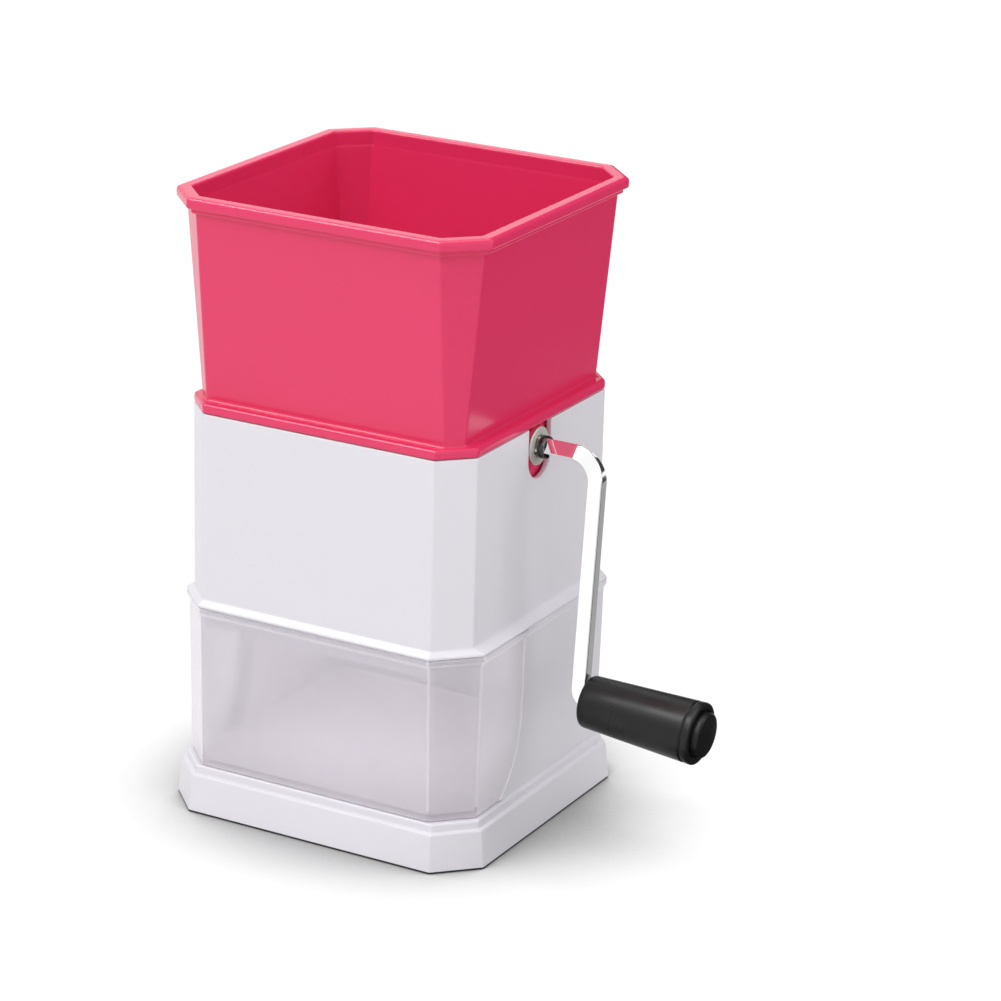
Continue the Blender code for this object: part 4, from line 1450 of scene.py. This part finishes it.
@dataclass
class Tray(SubAssembly):
    """The clear collecting tray: a wide front that closes the stand, and a box behind it."""

    body: ClassVar[Body] = Body.TRAY
    wall: float = 2.0
    floor: float = 1.5
    box_x: float = 52.5
    box_wall: float = 1.5
    box_height: float = 50.1
    box_corner: float = 4.0
    box_edge: float = 2.2
    bead: float = 0.6
    rib: float = 0.6

    def box_mesh(self, inset: float, bottom: float, top: float, front: float, cut: float) -> bpy.types.Mesh:
        """The rear box or its hollow, with rounded edges.

        Args:
            inset: How far its walls lie inside the outer faces.
            bottom: Its lowest height.
            top: Its highest height.
            front: Where it starts, as a y.
            cut: The rounding of its lower edge.

        Returns:
            The mesh.
        """
        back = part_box("collection_tray")[1].y / MM - inset
        outline = Octagon(self.box_x - inset, (back - front) / 2.0, self.box_corner - inset * 0.586)
        centre = (0.0, (back + front) / 2.0)
        levels = [Level(outline.grown(-1.5), bottom), Level(outline, bottom, cut), Level(outline, top)]
        return shell(levels, self.box_edge, closed=False, centre=centre)

    def build(self) -> None:
        """Makes the tray."""
        h = self.heights
        z_wall = h.rim - LIP_HEIGHT - LIP_RISE
        above = h.rim + 2.0
        z_inside = h.tray_bottom + self.floor
        z_box = h.tray_bottom + self.box_height
        reach = STAND_LIP.x + 2.0
        outer = shell([
            Level(STAND_FOOT.grown(-2.0), h.tray_bottom),
            Level(STAND_FOOT, h.tray_bottom, 1.0),
            Level(STAND_TOP, z_wall, 0.8),
            Level(STAND_LIP, z_wall + LIP_RISE, 0.5),
            Level(STAND_LIP, h.rim, 0.45),
            Level(STAND_LIP.grown(-2.0), h.rim),
        ], TIER_EDGE, closed=False)
        side = tray_outline(h, 0.0, h.tray_bottom - 2.0, above, reach)
        outer = combined(outer, Cut.KEEP, prism(side, -reach, reach))
        outer = combined(outer, Cut.ADD, self.box_mesh(0.0, h.tray_bottom, z_box, -STAND_FOOT.y / 2.0, 1.2))
        inner = shell([
            Level(STAND_FOOT.grown(-self.wall - 2.5), z_inside),
            Level(STAND_FOOT.grown(-self.wall), z_inside, 1.5),
            Level(STAND_TOP.grown(-self.wall), z_wall),
            Level(STAND_TOP.grown(-self.wall), above),
        ], TIER_EDGE, closed=False)
        side = tray_outline(h, -self.wall, h.tray_bottom, z_box + 2.0, reach)
        hollow = combined(inner, Cut.KEEP, prism(side, -reach, reach))
        box = self.box_mesh(self.box_wall, z_inside, above, -STAND_FOOT.y + 6.0, 1.5)
        hollow = combined(hollow, Cut.ADD, box)
        clear = STAND_TOP.grown(-self.wall)
        opening = shell([Level(clear, z_box), Level(clear, above)], TIER_EDGE, closed=False)
        tray = combined(combined(outer, Cut.TAKE, hollow), Cut.TAKE, opening)
        self.add("clear_tray", tray, CLEAR, ["collection_tray"])
        self.add("tray_beads", self.bead_mesh(), CLEAR_EDGE_GLOW)

    def ridge(self, points: Sequence[Point], half: float) -> bpy.types.Mesh:
        """A rounded ridge along a path.

        Args:
            points: The path, in millimetres.
            half: Half of the ridge's width.

        Returns:
            The mesh.
        """
        path = bent_path(points, [0.0] * len(points))
        return sweep_recipe(CLEAR_EDGE_GLOW).run(path, {
            "Width": 2.0 * half * MM, "Edge": half * 0.5 * MM, "Steps": 4,
        })

    def bead_mesh(self) -> bpy.types.Mesh:
        """The thick back edges of the tray's two sides, and the ribs round the floor of its box; their
        whiter finish is partly a painted highlight of the light lines along these edges.

        Returns:
            The mesh.
        """
        h = self.heights
        outline = tray_outline(h, -self.bead, h.tray_bottom, h.rim - LIP_HEIGHT - LIP_RISE, 0.0)[2:]
        foot, rise = STAND_FOOT.x, STAND_TOP.x - STAND_FOOT.x
        height = h.rim - LIP_HEIGHT - LIP_RISE - h.floor
        ridges = []
        for side in (-1.0, 1.0):
            for inwards, half in ((self.bead * 0.6, self.bead), (self.wall, self.rib)):
                points = []
                for y, z in outline:
                    x = foot + rise * (z - h.floor) / height - inwards
                    points.append((side * x, y, max(z, h.tray_bottom + self.bead)))
                ridges.append(self.ridge(points, half))
        x = self.box_x - self.box_wall - self.rib / 2.0
        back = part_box("collection_tray")[1].y / MM - self.box_wall - self.rib / 2.0
        front, z = -STAND_FOOT.y + 18.0, h.tray_bottom + self.floor + self.rib / 2.0
        cut = self.box_corner * 0.5
        floor = [
            (-x, front, z), (-x, back - cut, z), (-x + cut, back, z), (x - cut, back, z),
            (x, back - cut, z), (x, front, z),
        ]
        ridges.append(self.ridge(floor, self.rib))
        return joined(ridges)


@dataclass
class Hopper(SubAssembly):
    """The pink hopper with its rolled rim, and the fixed pieces of the cutter in its skirt."""

    body: ClassVar[Body] = Body.HOPPER
    flange: float = 3.4
    foot: Octagon = Octagon(53.1, 52.9, 5.1)
    top: Octagon = Octagon(59.2, 59.0, 10.9)
    wall_height: float = 69.0
    wall: float = 1.8
    band: float = 1.7
    band_height: float = 1.9
    roll: float = 3.5
    inner_step: float = 0.12
    edge: float = 0.8
    boss_radius: float = 7.4
    boss_length: float = 3.9
    seat_radius: float = 6.3
    bush_radius: float = 6.0
    bush_bore: float = 4.62
    washer_radius: float = 6.95
    washer_bore: float = 4.0
    washer_short: float = 0.5
    screw: SunkScrew = SunkScrew()

    def shell_mesh(self) -> bpy.types.Mesh:
        """The hopper in one moulding: skirt, flange, tapering walls and rolled rim.

        Returns:
            The mesh.
        """
        h = self.heights
        z_flange = h.body_top + h.gap
        z_foot = z_flange + self.flange
        z_top = z_foot + self.wall_height
        z_band = z_top + self.band_height
        skirt_in = SKIRT.grown(-self.wall)
        foot_in, top_in = self.foot.grown(-self.wall), self.top.grown(-self.wall)
        mouth = top_in.grown(self.inner_step)
        roll = self.top.grown(self.roll)
        hopper = shell([
            Level(SKIRT, h.skirt, 0.5),
            Level(SKIRT, z_flange, 0.15),
            Level(BODY_OUTLINE, z_flange, 0.7),
            Level(BODY_OUTLINE, z_foot, 1.5),
            Level(self.foot, z_foot, 1.2),
            Level(self.top, z_top, 0.3),
            Level(self.top.grown(self.band), z_top, 0.5),
            Level(self.top.grown(self.band), z_band, 0.3),
            Level(roll, z_band, 1.0),
            Level(roll, h.hopper_top, 1.6),
            Level(mouth, h.hopper_top, 0.9),
            Level(mouth, z_top + 0.4, 0.6),
            Level(top_in, z_top - 0.4, 0.6),
            Level(foot_in, z_foot, 0.8),
            Level(foot_in, z_flange, 0.4),
            Level(skirt_in, z_flange, 0.4),
            Level(skirt_in, h.skirt, 0.5),
        ], self.edge)
        inner, outer = skirt_in.x - self.boss_length, SKIRT.x + 1.6
        blind = skirt_in.x + self.wall / 3.0
        boss, seat = self.boss_radius, self.seat_radius
        bosses = [
            turned([(inner, boss, 0.0), (outer, boss, 0.4), (outer, 3.0, 0.0)], False),
            turned([(-skirt_in.x - 0.9, boss, 0.0), (-inner, boss, 0.0)], False),
        ]
        bores = [
            turned([(inner - 2.0, seat, 0.0), (outer + 2.0, seat, 0.0)], False),
            turned([(-blind, seat, 0.0), (-inner + 2.0, seat, 0.0)], False),
        ]
        bosses = [placed(mesh, h.axis) for mesh in bosses]
        bores = [placed(mesh, h.axis) for mesh in bores]
        bores += [placed(self.screw.hole(), place) for place in self.screw_places()]
        return combined(combined(hopper, Cut.ADD, *bosses), Cut.TAKE, *bores)

    def ring(self, node: str, outer: float, bore: float, cut: float, short: float = 0.0) -> bpy.types.Mesh:
        """A ring about the crank's axis, as long as a node of the frame.

        Args:
            node: The node.
            outer: The ring's radius.
            bore: Its bore's radius.
            cut: The rounding of its edges.
            short: How much shorter it is at its outer end.

        Returns:
            The mesh.
        """
        x0, x1 = (corner.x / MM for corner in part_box(node))
        x1 -= short
        ring = turned([(x0, outer, cut), (x1, outer, cut), (x1, bore, cut / 2.0), (x0, bore, cut / 2.0)])
        return placed(ring, self.heights.axis)

    def build(self) -> None:
        """Makes the hopper's pieces."""
        h = self.heights
        self.add("pink_hopper", self.shell_mesh(), PINK, ["hopper"])
        washer = Steel("washer_steel", Slot.STEEL, (0.88, 0.86, 0.81), 0.58, Grain.TURNED,
                       axis=(0.0, h.axis_y * MM, h.axis_z * MM))
        ring = self.ring("drive_washer", self.washer_radius, self.washer_bore, 0.25, self.washer_short)
        self.add("steel_washer", ring, washer, ["drive_washer"])
        for node in ("drive_bush", "idle_bush"):
            self.add(f"nylon_{node}", self.ring(node, self.bush_radius, self.bush_bore, 0.3), NYLON, [node])
        for name in ("front_comb", "rear_comb"):
            self.redress(name, WHITE)
        self.redress("shear_plate", BLADE_STEEL)
        self.build_screws()

    def screw_places(self) -> list[Matrix]:
        """Where the combs' screws start in the skirt.

        Returns:
            Matrices that point +X into the chamber.
        """
        low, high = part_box("comb_screw_1")
        z, span = (low.z + high.z) / 2.0 / MM, abs(low.x + high.x) / 2.0 / MM
        places = []
        for side in (-1, 1):
            inwards = Matrix.Rotation(-side * math.pi / 2.0, 4, "Z")
            places += [shifted(x, side * SKIRT.y, z) @ inwards for x in (-span, span)]
        return places

    def build_screws(self) -> None:
        """Makes the screws of the combs and of the steel plate."""
        mesh = scattered(self.screw.mesh(), self.screw_places(), SCREW_STEEL)
        self.add("comb_fixings", mesh, SCREW_STEEL, [f"comb_screw_{i}" for i in range(1, 5)])
        for i in (1, 2):
            self.redress(f"plate_screw_{i}", SCREW_STEEL)


# One arm of a blade as (degrees, share of the blade's radius)
ARM_OUTLINE = (
    (0.0, 0.43), (12.0, 0.50), (26.0, 0.66), (40.0, 0.84), (52.0, 0.97), (56.0, 1.0), (59.0, 0.92),
    (62.0, 0.72), (66.0, 0.54), (73.0, 0.44), (95.0, 0.43),
)


@dataclass
class Cutter(SubAssembly):
    """The turning half of the cutter with its crank: rod, collar, journals, blades and spacers."""

    body: ClassVar[Body] = Body.ROTOR
    blades: int = 9
    arms: int = 3
    pitch: float = 10.0
    blade_radius: float = 24.5
    blade_thick: float = 1.0
    ground: float = 1.1
    rod_half: float = 2.8
    rod_edge: float = 0.5
    shaft_twist: float = math.radians(-31.0)
    arm_twist: float = math.radians(-4.0)
    pin_radius: float = 2.6
    pin_square: float = 5.0
    bore: float = 3.4
    arm_offset: float = 80.8
    arm_length: float = 91.2
    arm_lean: float = math.radians(2.6)
    pin_droop: float = math.radians(3.4)
    arm_bend: float = 9.0
    pin_length: float = 48.0
    spacer_radius: float = 8.9
    collar_radius: float = 4.15
    collar_neck: float = 3.95
    journal_radius: float = 4.5
    shoulder_radius: float = 8.6
    shoulder: float = 48.8
    nut_radius: float = 6.4

    def blade_mesh(self) -> bpy.types.Mesh:
        """One flat blade with three hooked arms and ground edges.

        Returns:
            The mesh, about the X axis.
        """
        corners = []
        for arm in range(self.arms):
            for degrees, share in ARM_OUTLINE:
                angle = math.radians(arm * 360.0 / self.arms + degrees)
                radius = self.blade_radius * share
                corners.append((radius * math.cos(angle), radius * math.sin(angle)))
        path = softened(corners, [0.5] * len(corners), True, (0, 1), 2)
        half, core = self.blade_thick / 2.0, self.blade_thick * 0.08
        rings = []
        for x, cut in ((-half, self.ground), (-core, 0.0), (core, 0.0), (half, self.ground)):
            ring = []
            for y, z in path:
                radius = math.hypot(y, z)
                share = (radius - cut * radius / self.blade_radius) / radius
                ring.append(Vector((x, y * share, z * share)) * MM)
            rings.append(ring)
        for x in (half, -half):
            ring = []
            for y, z in path:
                angle = math.atan2(z, y)
                ring.append(Vector((x, self.bore * math.cos(angle), self.bore * math.sin(angle))) * MM)
            rings.append(ring)
        return loft(rings, closed=True)

    def rod_mesh(self) -> bpy.types.Mesh:
        """The bent square rod: shaft, arm and pin.

        Returns:
            The mesh.
        """
        down = Vector((-math.sin(self.arm_lean), 0.0, -math.cos(self.arm_lean)))
        pin = Vector((math.cos(self.pin_droop), 0.0, -math.sin(self.pin_droop)))
        first = Vector((self.arm_offset, 0.0, 0.0))
        second = first + down * self.arm_length
        start = Vector((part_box("crank_rod")[0].x / MM, 0.0, 0.0))
        points = [start, first, second, second + pin * self.pin_square]
        path = bent_path(points, (0.0, self.arm_bend, 0.9 * self.pin_square, 0.0))
        shaft = self.arm_offset - start.x
        rod = sweep_recipe(CHROME).run(path, {
            "Width": 2.0 * self.rod_half * MM, "Edge": self.rod_edge * MM, "Steps": 14,
            "Twist": self.shaft_twist, "Last Twist": self.arm_twist,
            "Twist From": (shaft - self.arm_bend) * MM, "Twist To": (shaft + self.arm_bend) * MM,
        })
        round_pin = turned([
            (self.pin_square - 2.0, self.pin_radius, 0.0), (self.pin_length, self.pin_radius, 0.4),
            (self.pin_length, 0.5, 0.0),
        ], closed=False, sides=32)
        return placed(joined([rod, placed(round_pin, self.pin_place)]), self.heights.axis)

    @property
    def pin_place(self) -> Matrix:
        """From the crank's axis onto the pin: its start and its slope.

        Returns:
            The matrix.
        """
        reach = self.arm_offset - math.sin(self.arm_lean) * self.arm_length
        fall = math.cos(self.arm_lean) * self.arm_length
        return shifted(reach, 0.0, -fall) @ Matrix.Rotation(self.pin_droop, 4, "Y")

    def build(self) -> None:
        """Makes the rotor's pieces."""
        h = self.heights
        start = -(self.blades - 1) / 2.0 * self.pitch
        names = [f"cutter_blade_{i}" for i in range(1, self.blades + 1)]
        twist = 2.0 * math.pi / self.arms / self.blades
        row = {"Count": self.blades, "Pitch": self.pitch * MM, "Twist": twist,
               "Start": (start * MM, h.axis_y * MM, h.axis_z * MM)}
        self.add("hooked_blades", row_recipe(BLADE_STEEL).run(self.blade_mesh(), row), BLADE_STEEL, names)
        gap = self.blade_thick / 2.0 + h.gap
        end, wide = self.pitch - gap, self.spacer_radius
        spacer = turned([(gap, wide, 0.5), (end, wide, 0.5), (end, self.bore, 0.0), (gap, self.bore, 0.0)])
        row.update(Count=self.blades - 1, Twist=0.0)
        names = [f"blade_spacer_{i}" for i in range(1, self.blades)]
        self.add("nylon_spacers", row_recipe(NYLON).run(spacer, row), NYLON, names)
        self.build_ends()
        self.add("chrome_crank_rod", self.rod_mesh(), CHROME, ["crank_rod"])
        x0, x1 = (corner.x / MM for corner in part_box("crank_collar"))
        wide, neck = self.collar_radius, self.collar_neck
        collar = turned([
            (x0, wide, 0.3), (x1 - 0.9, wide, 0.2), (x1 - 0.7, neck, 0.1), (x1 - 0.5, wide - 0.05, 0.15),
            (x1, neck, 0.3), (x1, self.bore, 0.2), (x0, self.bore, 0.0),
        ])
        self.add("dark_collar", placed(collar, h.axis), CHROME_PAINTED_DARK, ["crank_collar"])

    def build_ends(self) -> None:
        """Makes the two journals and the push-on nut."""
        h, bore = self.heights, self.bore
        wide, slim = self.shoulder_radius, self.journal_radius
        for node, sense in (("drive_trunnion", 1.0), ("idle_trunnion", -1.0)):
            near, far = sorted(abs(corner.x / MM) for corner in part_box(node))
            profile = [
                (near, wide, 0.4), (self.shoulder, wide, 0.4), (self.shoulder, slim, 0.2),
                (far, slim, 0.4), (far, bore, 0.0), (near, bore, 0.0),
            ]
            mesh = turned([(sense * x, r, cut) for x, r, cut in profile])
            self.add(f"nylon_{node}", placed(mesh, h.axis), NYLON, [node])
        x0, x1 = (corner.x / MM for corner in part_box("push_nut"))
        wide = self.nut_radius
        nut = turned([(x0, wide, 0.2), (x1, wide, 0.2), (x1, bore, 0.0), (x0, bore, 0.0)])
        self.add("spring_push_nut", placed(nut, h.axis), SCREW_STEEL, ["push_nut"])


@dataclass
class Grip(SubAssembly):
    """The black grip that spins on the rod's pin, placed by the pin's matrix, with its domed end cap."""

    body: ClassVar[Body] = Body.GRIP
    pin: Matrix = field(default_factory=Matrix)
    start: float = 3.1
    length: float = 45.0
    inner_radius: float = 9.5
    outer_radius: float = 11.4
    mouth: float = 4.9
    groove: float = 3.2
    groove_depth: float = 0.45
    cap_radius: float = 8.3
    cap_proud: float = 3.0
    bore: float = 2.9
    sides: int = 96

    def build(self) -> None:
        """Makes the grip and its cap."""
        x0, x1 = self.start, self.start + self.length
        slope = (self.outer_radius - self.inner_radius) / self.length
        ring = x1 - self.groove
        ring_radius = self.inner_radius + slope * (ring - x0)
        grip = turned([
            (x0, self.mouth, 0.4), (x0, self.inner_radius, 1.7), (ring - 0.5, ring_radius, 0.25),
            (ring, ring_radius - self.groove_depth, 0.25), (ring + 0.5, ring_radius + 0.02, 0.25),
            (x1, self.outer_radius, 1.1), (x1, self.cap_radius + 0.7, 0.5),
            (x1 - 0.8, self.cap_radius + 0.3, 0.2), (x1 - 0.8, self.bore, 0.0),
            (x0 + self.mouth, self.bore, 0.0),
        ], sides=self.sides)
        self.add("black_grip", placed(grip, self.pin), BLACK, ["grip"])
        end = x1 + self.heights.gap + self.cap_proud
        cap = turned([
            (x1 - 0.4, 1.0, 0.0), (x1 - 0.4, self.cap_radius, 0.2), (end - 0.9, self.cap_radius, 0.9),
            (end - 0.35, self.cap_radius * 0.6, 2.0), (end, 0.6, 0.0),
        ], closed=False, sides=self.sides)
        self.add("domed_grip_cap", placed(cap, self.pin), BLACK, ["grip_end_cap"])


# Studio


@dataclass(frozen=True)
class Lamp:
    """A soft square area lamp: its place, side and power, and the point that it faces."""

    name: str
    place: Point
    size: float
    watts: float
    aim: Point = (0.0, 0.0, 0.12)

    def build(self) -> None:
        """Makes the lamp."""
        data = bpy.data.lights.new(self.name, "AREA")
        data.shape = "SQUARE"
        data.size = self.size
        data.energy = self.watts
        away = Vector(self.place) - Vector(self.aim)
        turn = away.to_track_quat("Z", "Y").to_matrix().to_4x4()
        lamp = linked(self.name, data)
        lamp.matrix_world = Matrix.Translation(self.place) @ turn
        lamp.visible_camera = False


@dataclass(frozen=True)
class Card:
    """A card that only shows in gloss: its four corners and its brightness."""

    name: str
    shade: float
    corners: Sequence[Point]

    def build(self) -> None:
        """Makes the card."""
        mesh = bpy.data.meshes.new(self.name)
        mesh.from_pydata(self.corners, [], [(0, 1, 2, 3)])
        paint = CardPaint(self.name, Slot.WHITE, (self.shade,) * 3, 1.0)
        mesh.materials.append(paint.material())
        card = linked(self.name, mesh)
        card.visible_camera = False
        card.visible_diffuse = False
        card.visible_transmission = False
        card.visible_shadow = False


LAMPS = (
    Lamp("key", (-0.12, -1.55, 1.75), 1.1, 15.5),
    Lamp("top", (0.0, -0.1, 2.1), 1.4, 14.0),
    Lamp("side", (1.5, 1.0, 0.9), 0.9, 4.8),
    Lamp("chamber", (0.0, -0.03, 0.088), 0.06, 0.026, (0.0, 0.05, 0.04)),
)
CARDS = (
    Card("ground_card", 0.04, (
        (0.09, -0.06, 0.001), (0.75, 0.1, 0.001), (0.9, 1.1, 0.001), (0.2, 0.7, 0.001),
    )),
    Card("arm_card", 0.36, (
        (0.080, 0.09, 0.002), (0.124, 0.09, 0.002), (0.213, 0.42, 0.002), (0.169, 0.42, 0.002),
    )),
    Card("chamfer_card", 0.6, (
        (0.1, -0.08, 0.001), (0.1, -0.6, 0.001), (0.9, -0.7, 0.001), (0.9, 0.0, 0.001),
    )),
    Card("soft_card", 9.0, (
        (-0.076, -0.392, 1.003), (-0.376, -0.601, 0.761), (-0.628, -0.240, 0.761), (-0.328, -0.031, 1.003),
    )),
    Card("back_card", 0.05, ((-0.3, 0.8, 0.04), (0.95, 0.6, 0.04), (0.95, 0.6, 1.0), (-0.3, 0.8, 1.0))),
)


@dataclass
class Studio:
    """The pale floor, the soft lamps, the white background and the camera."""

    azimuth: float = math.radians(28.62)
    elevation: float = math.radians(19.44)
    roll: float = math.radians(1.532)
    position: Point = (0.63539, -1.08875, 0.55682)
    lens: float = 133.59
    floor_reach: float = 8.0
    ambient: float = 0.58

    def build_camera(self) -> None:
        """Places the camera at the view that fits the object's proportions."""
        a, e, r = self.azimuth, self.elevation, self.roll
        back = Vector((math.sin(a) * math.cos(e), -math.cos(a) * math.cos(e), math.sin(e)))
        across = Vector((math.cos(a), math.sin(a), 0.0))
        up = back.cross(across)
        right = math.cos(r) * across + math.sin(r) * up
        top = -math.sin(r) * across + math.cos(r) * up
        data = bpy.data.cameras.new("camera")
        data.sensor_width = 36.0
        data.lens = self.lens
        columns = Matrix((right, top, back)).transposed()
        camera = linked("camera", data)
        camera.matrix_world = Matrix.Translation(self.position) @ columns.to_4x4()
        bpy.context.scene.camera = camera

    def build_world(self) -> None:
        """Makes the background white for the camera and in gloss, and a plain soft light elsewhere."""
        world = bpy.data.worlds.new("studio")
        world.use_nodes = True
        world.node_tree.nodes.clear()
        graph = Graph(world.node_tree)
        rays = [graph.ray(f"Is {kind} Ray") for kind in ("Camera", "Glossy", "Transmission")]
        share = graph.node("ShaderNodeClamp", {}, {"Value": rays[0] + rays[1] + rays[2]})
        colour = (1.0, 1.0, 1.0, 1.0)
        soft = graph.node("ShaderNodeBackground", {}, {"Color": colour, "Strength": self.ambient})
        white = graph.node("ShaderNodeBackground", {}, {"Color": colour, "Strength": 1.0})
        both = graph.node("ShaderNodeMixShader", {}, {0: share, 1: soft, 2: white})
        graph.node("ShaderNodeOutputWorld", {}, {"Surface": both})
        bpy.context.scene.world = world

    def build(self) -> None:
        """Makes the studio."""
        reach = self.floor_reach
        outline = [(-reach, -reach, 0), (reach, -reach, 0), (reach, reach, 0), (-reach, reach, 0)]
        mesh = bpy.data.meshes.new("floor")
        mesh.from_pydata(outline, [], [(0, 1, 2, 3)])
        mesh.materials.append(FloorPaint("studio_floor", Slot.WHITE, (0.86, 0.86, 0.86), 0.9).material())
        linked("studio_floor", mesh)
        self.build_world()
        for item in LAMPS + CARDS:
            item.build()
        self.build_camera()
        bpy.context.scene.view_settings.view_transform = "Standard"
        LOG.info("studio ready")


def main() -> None:
    """Dresses the frame."""
    logging.basicConfig(level=logging.INFO, format="%(name)s: %(message)s")
    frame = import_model()
    heights, nodes = Heights.from_frame(), frame["nodes"]
    cutter = Cutter(heights, nodes)
    grip = Grip(heights, nodes, pin=heights.axis @ cutter.pin_place)
    parts = [Stand(heights, nodes), Tray(heights, nodes), Hopper(heights, nodes), cutter, grip]
    for part in parts:
        part.build()
        LOG.info("%s: %d new pieces", type(part).__name__, len(part.pieces))
    Studio().build()


if __name__ == "__main__":
    main()
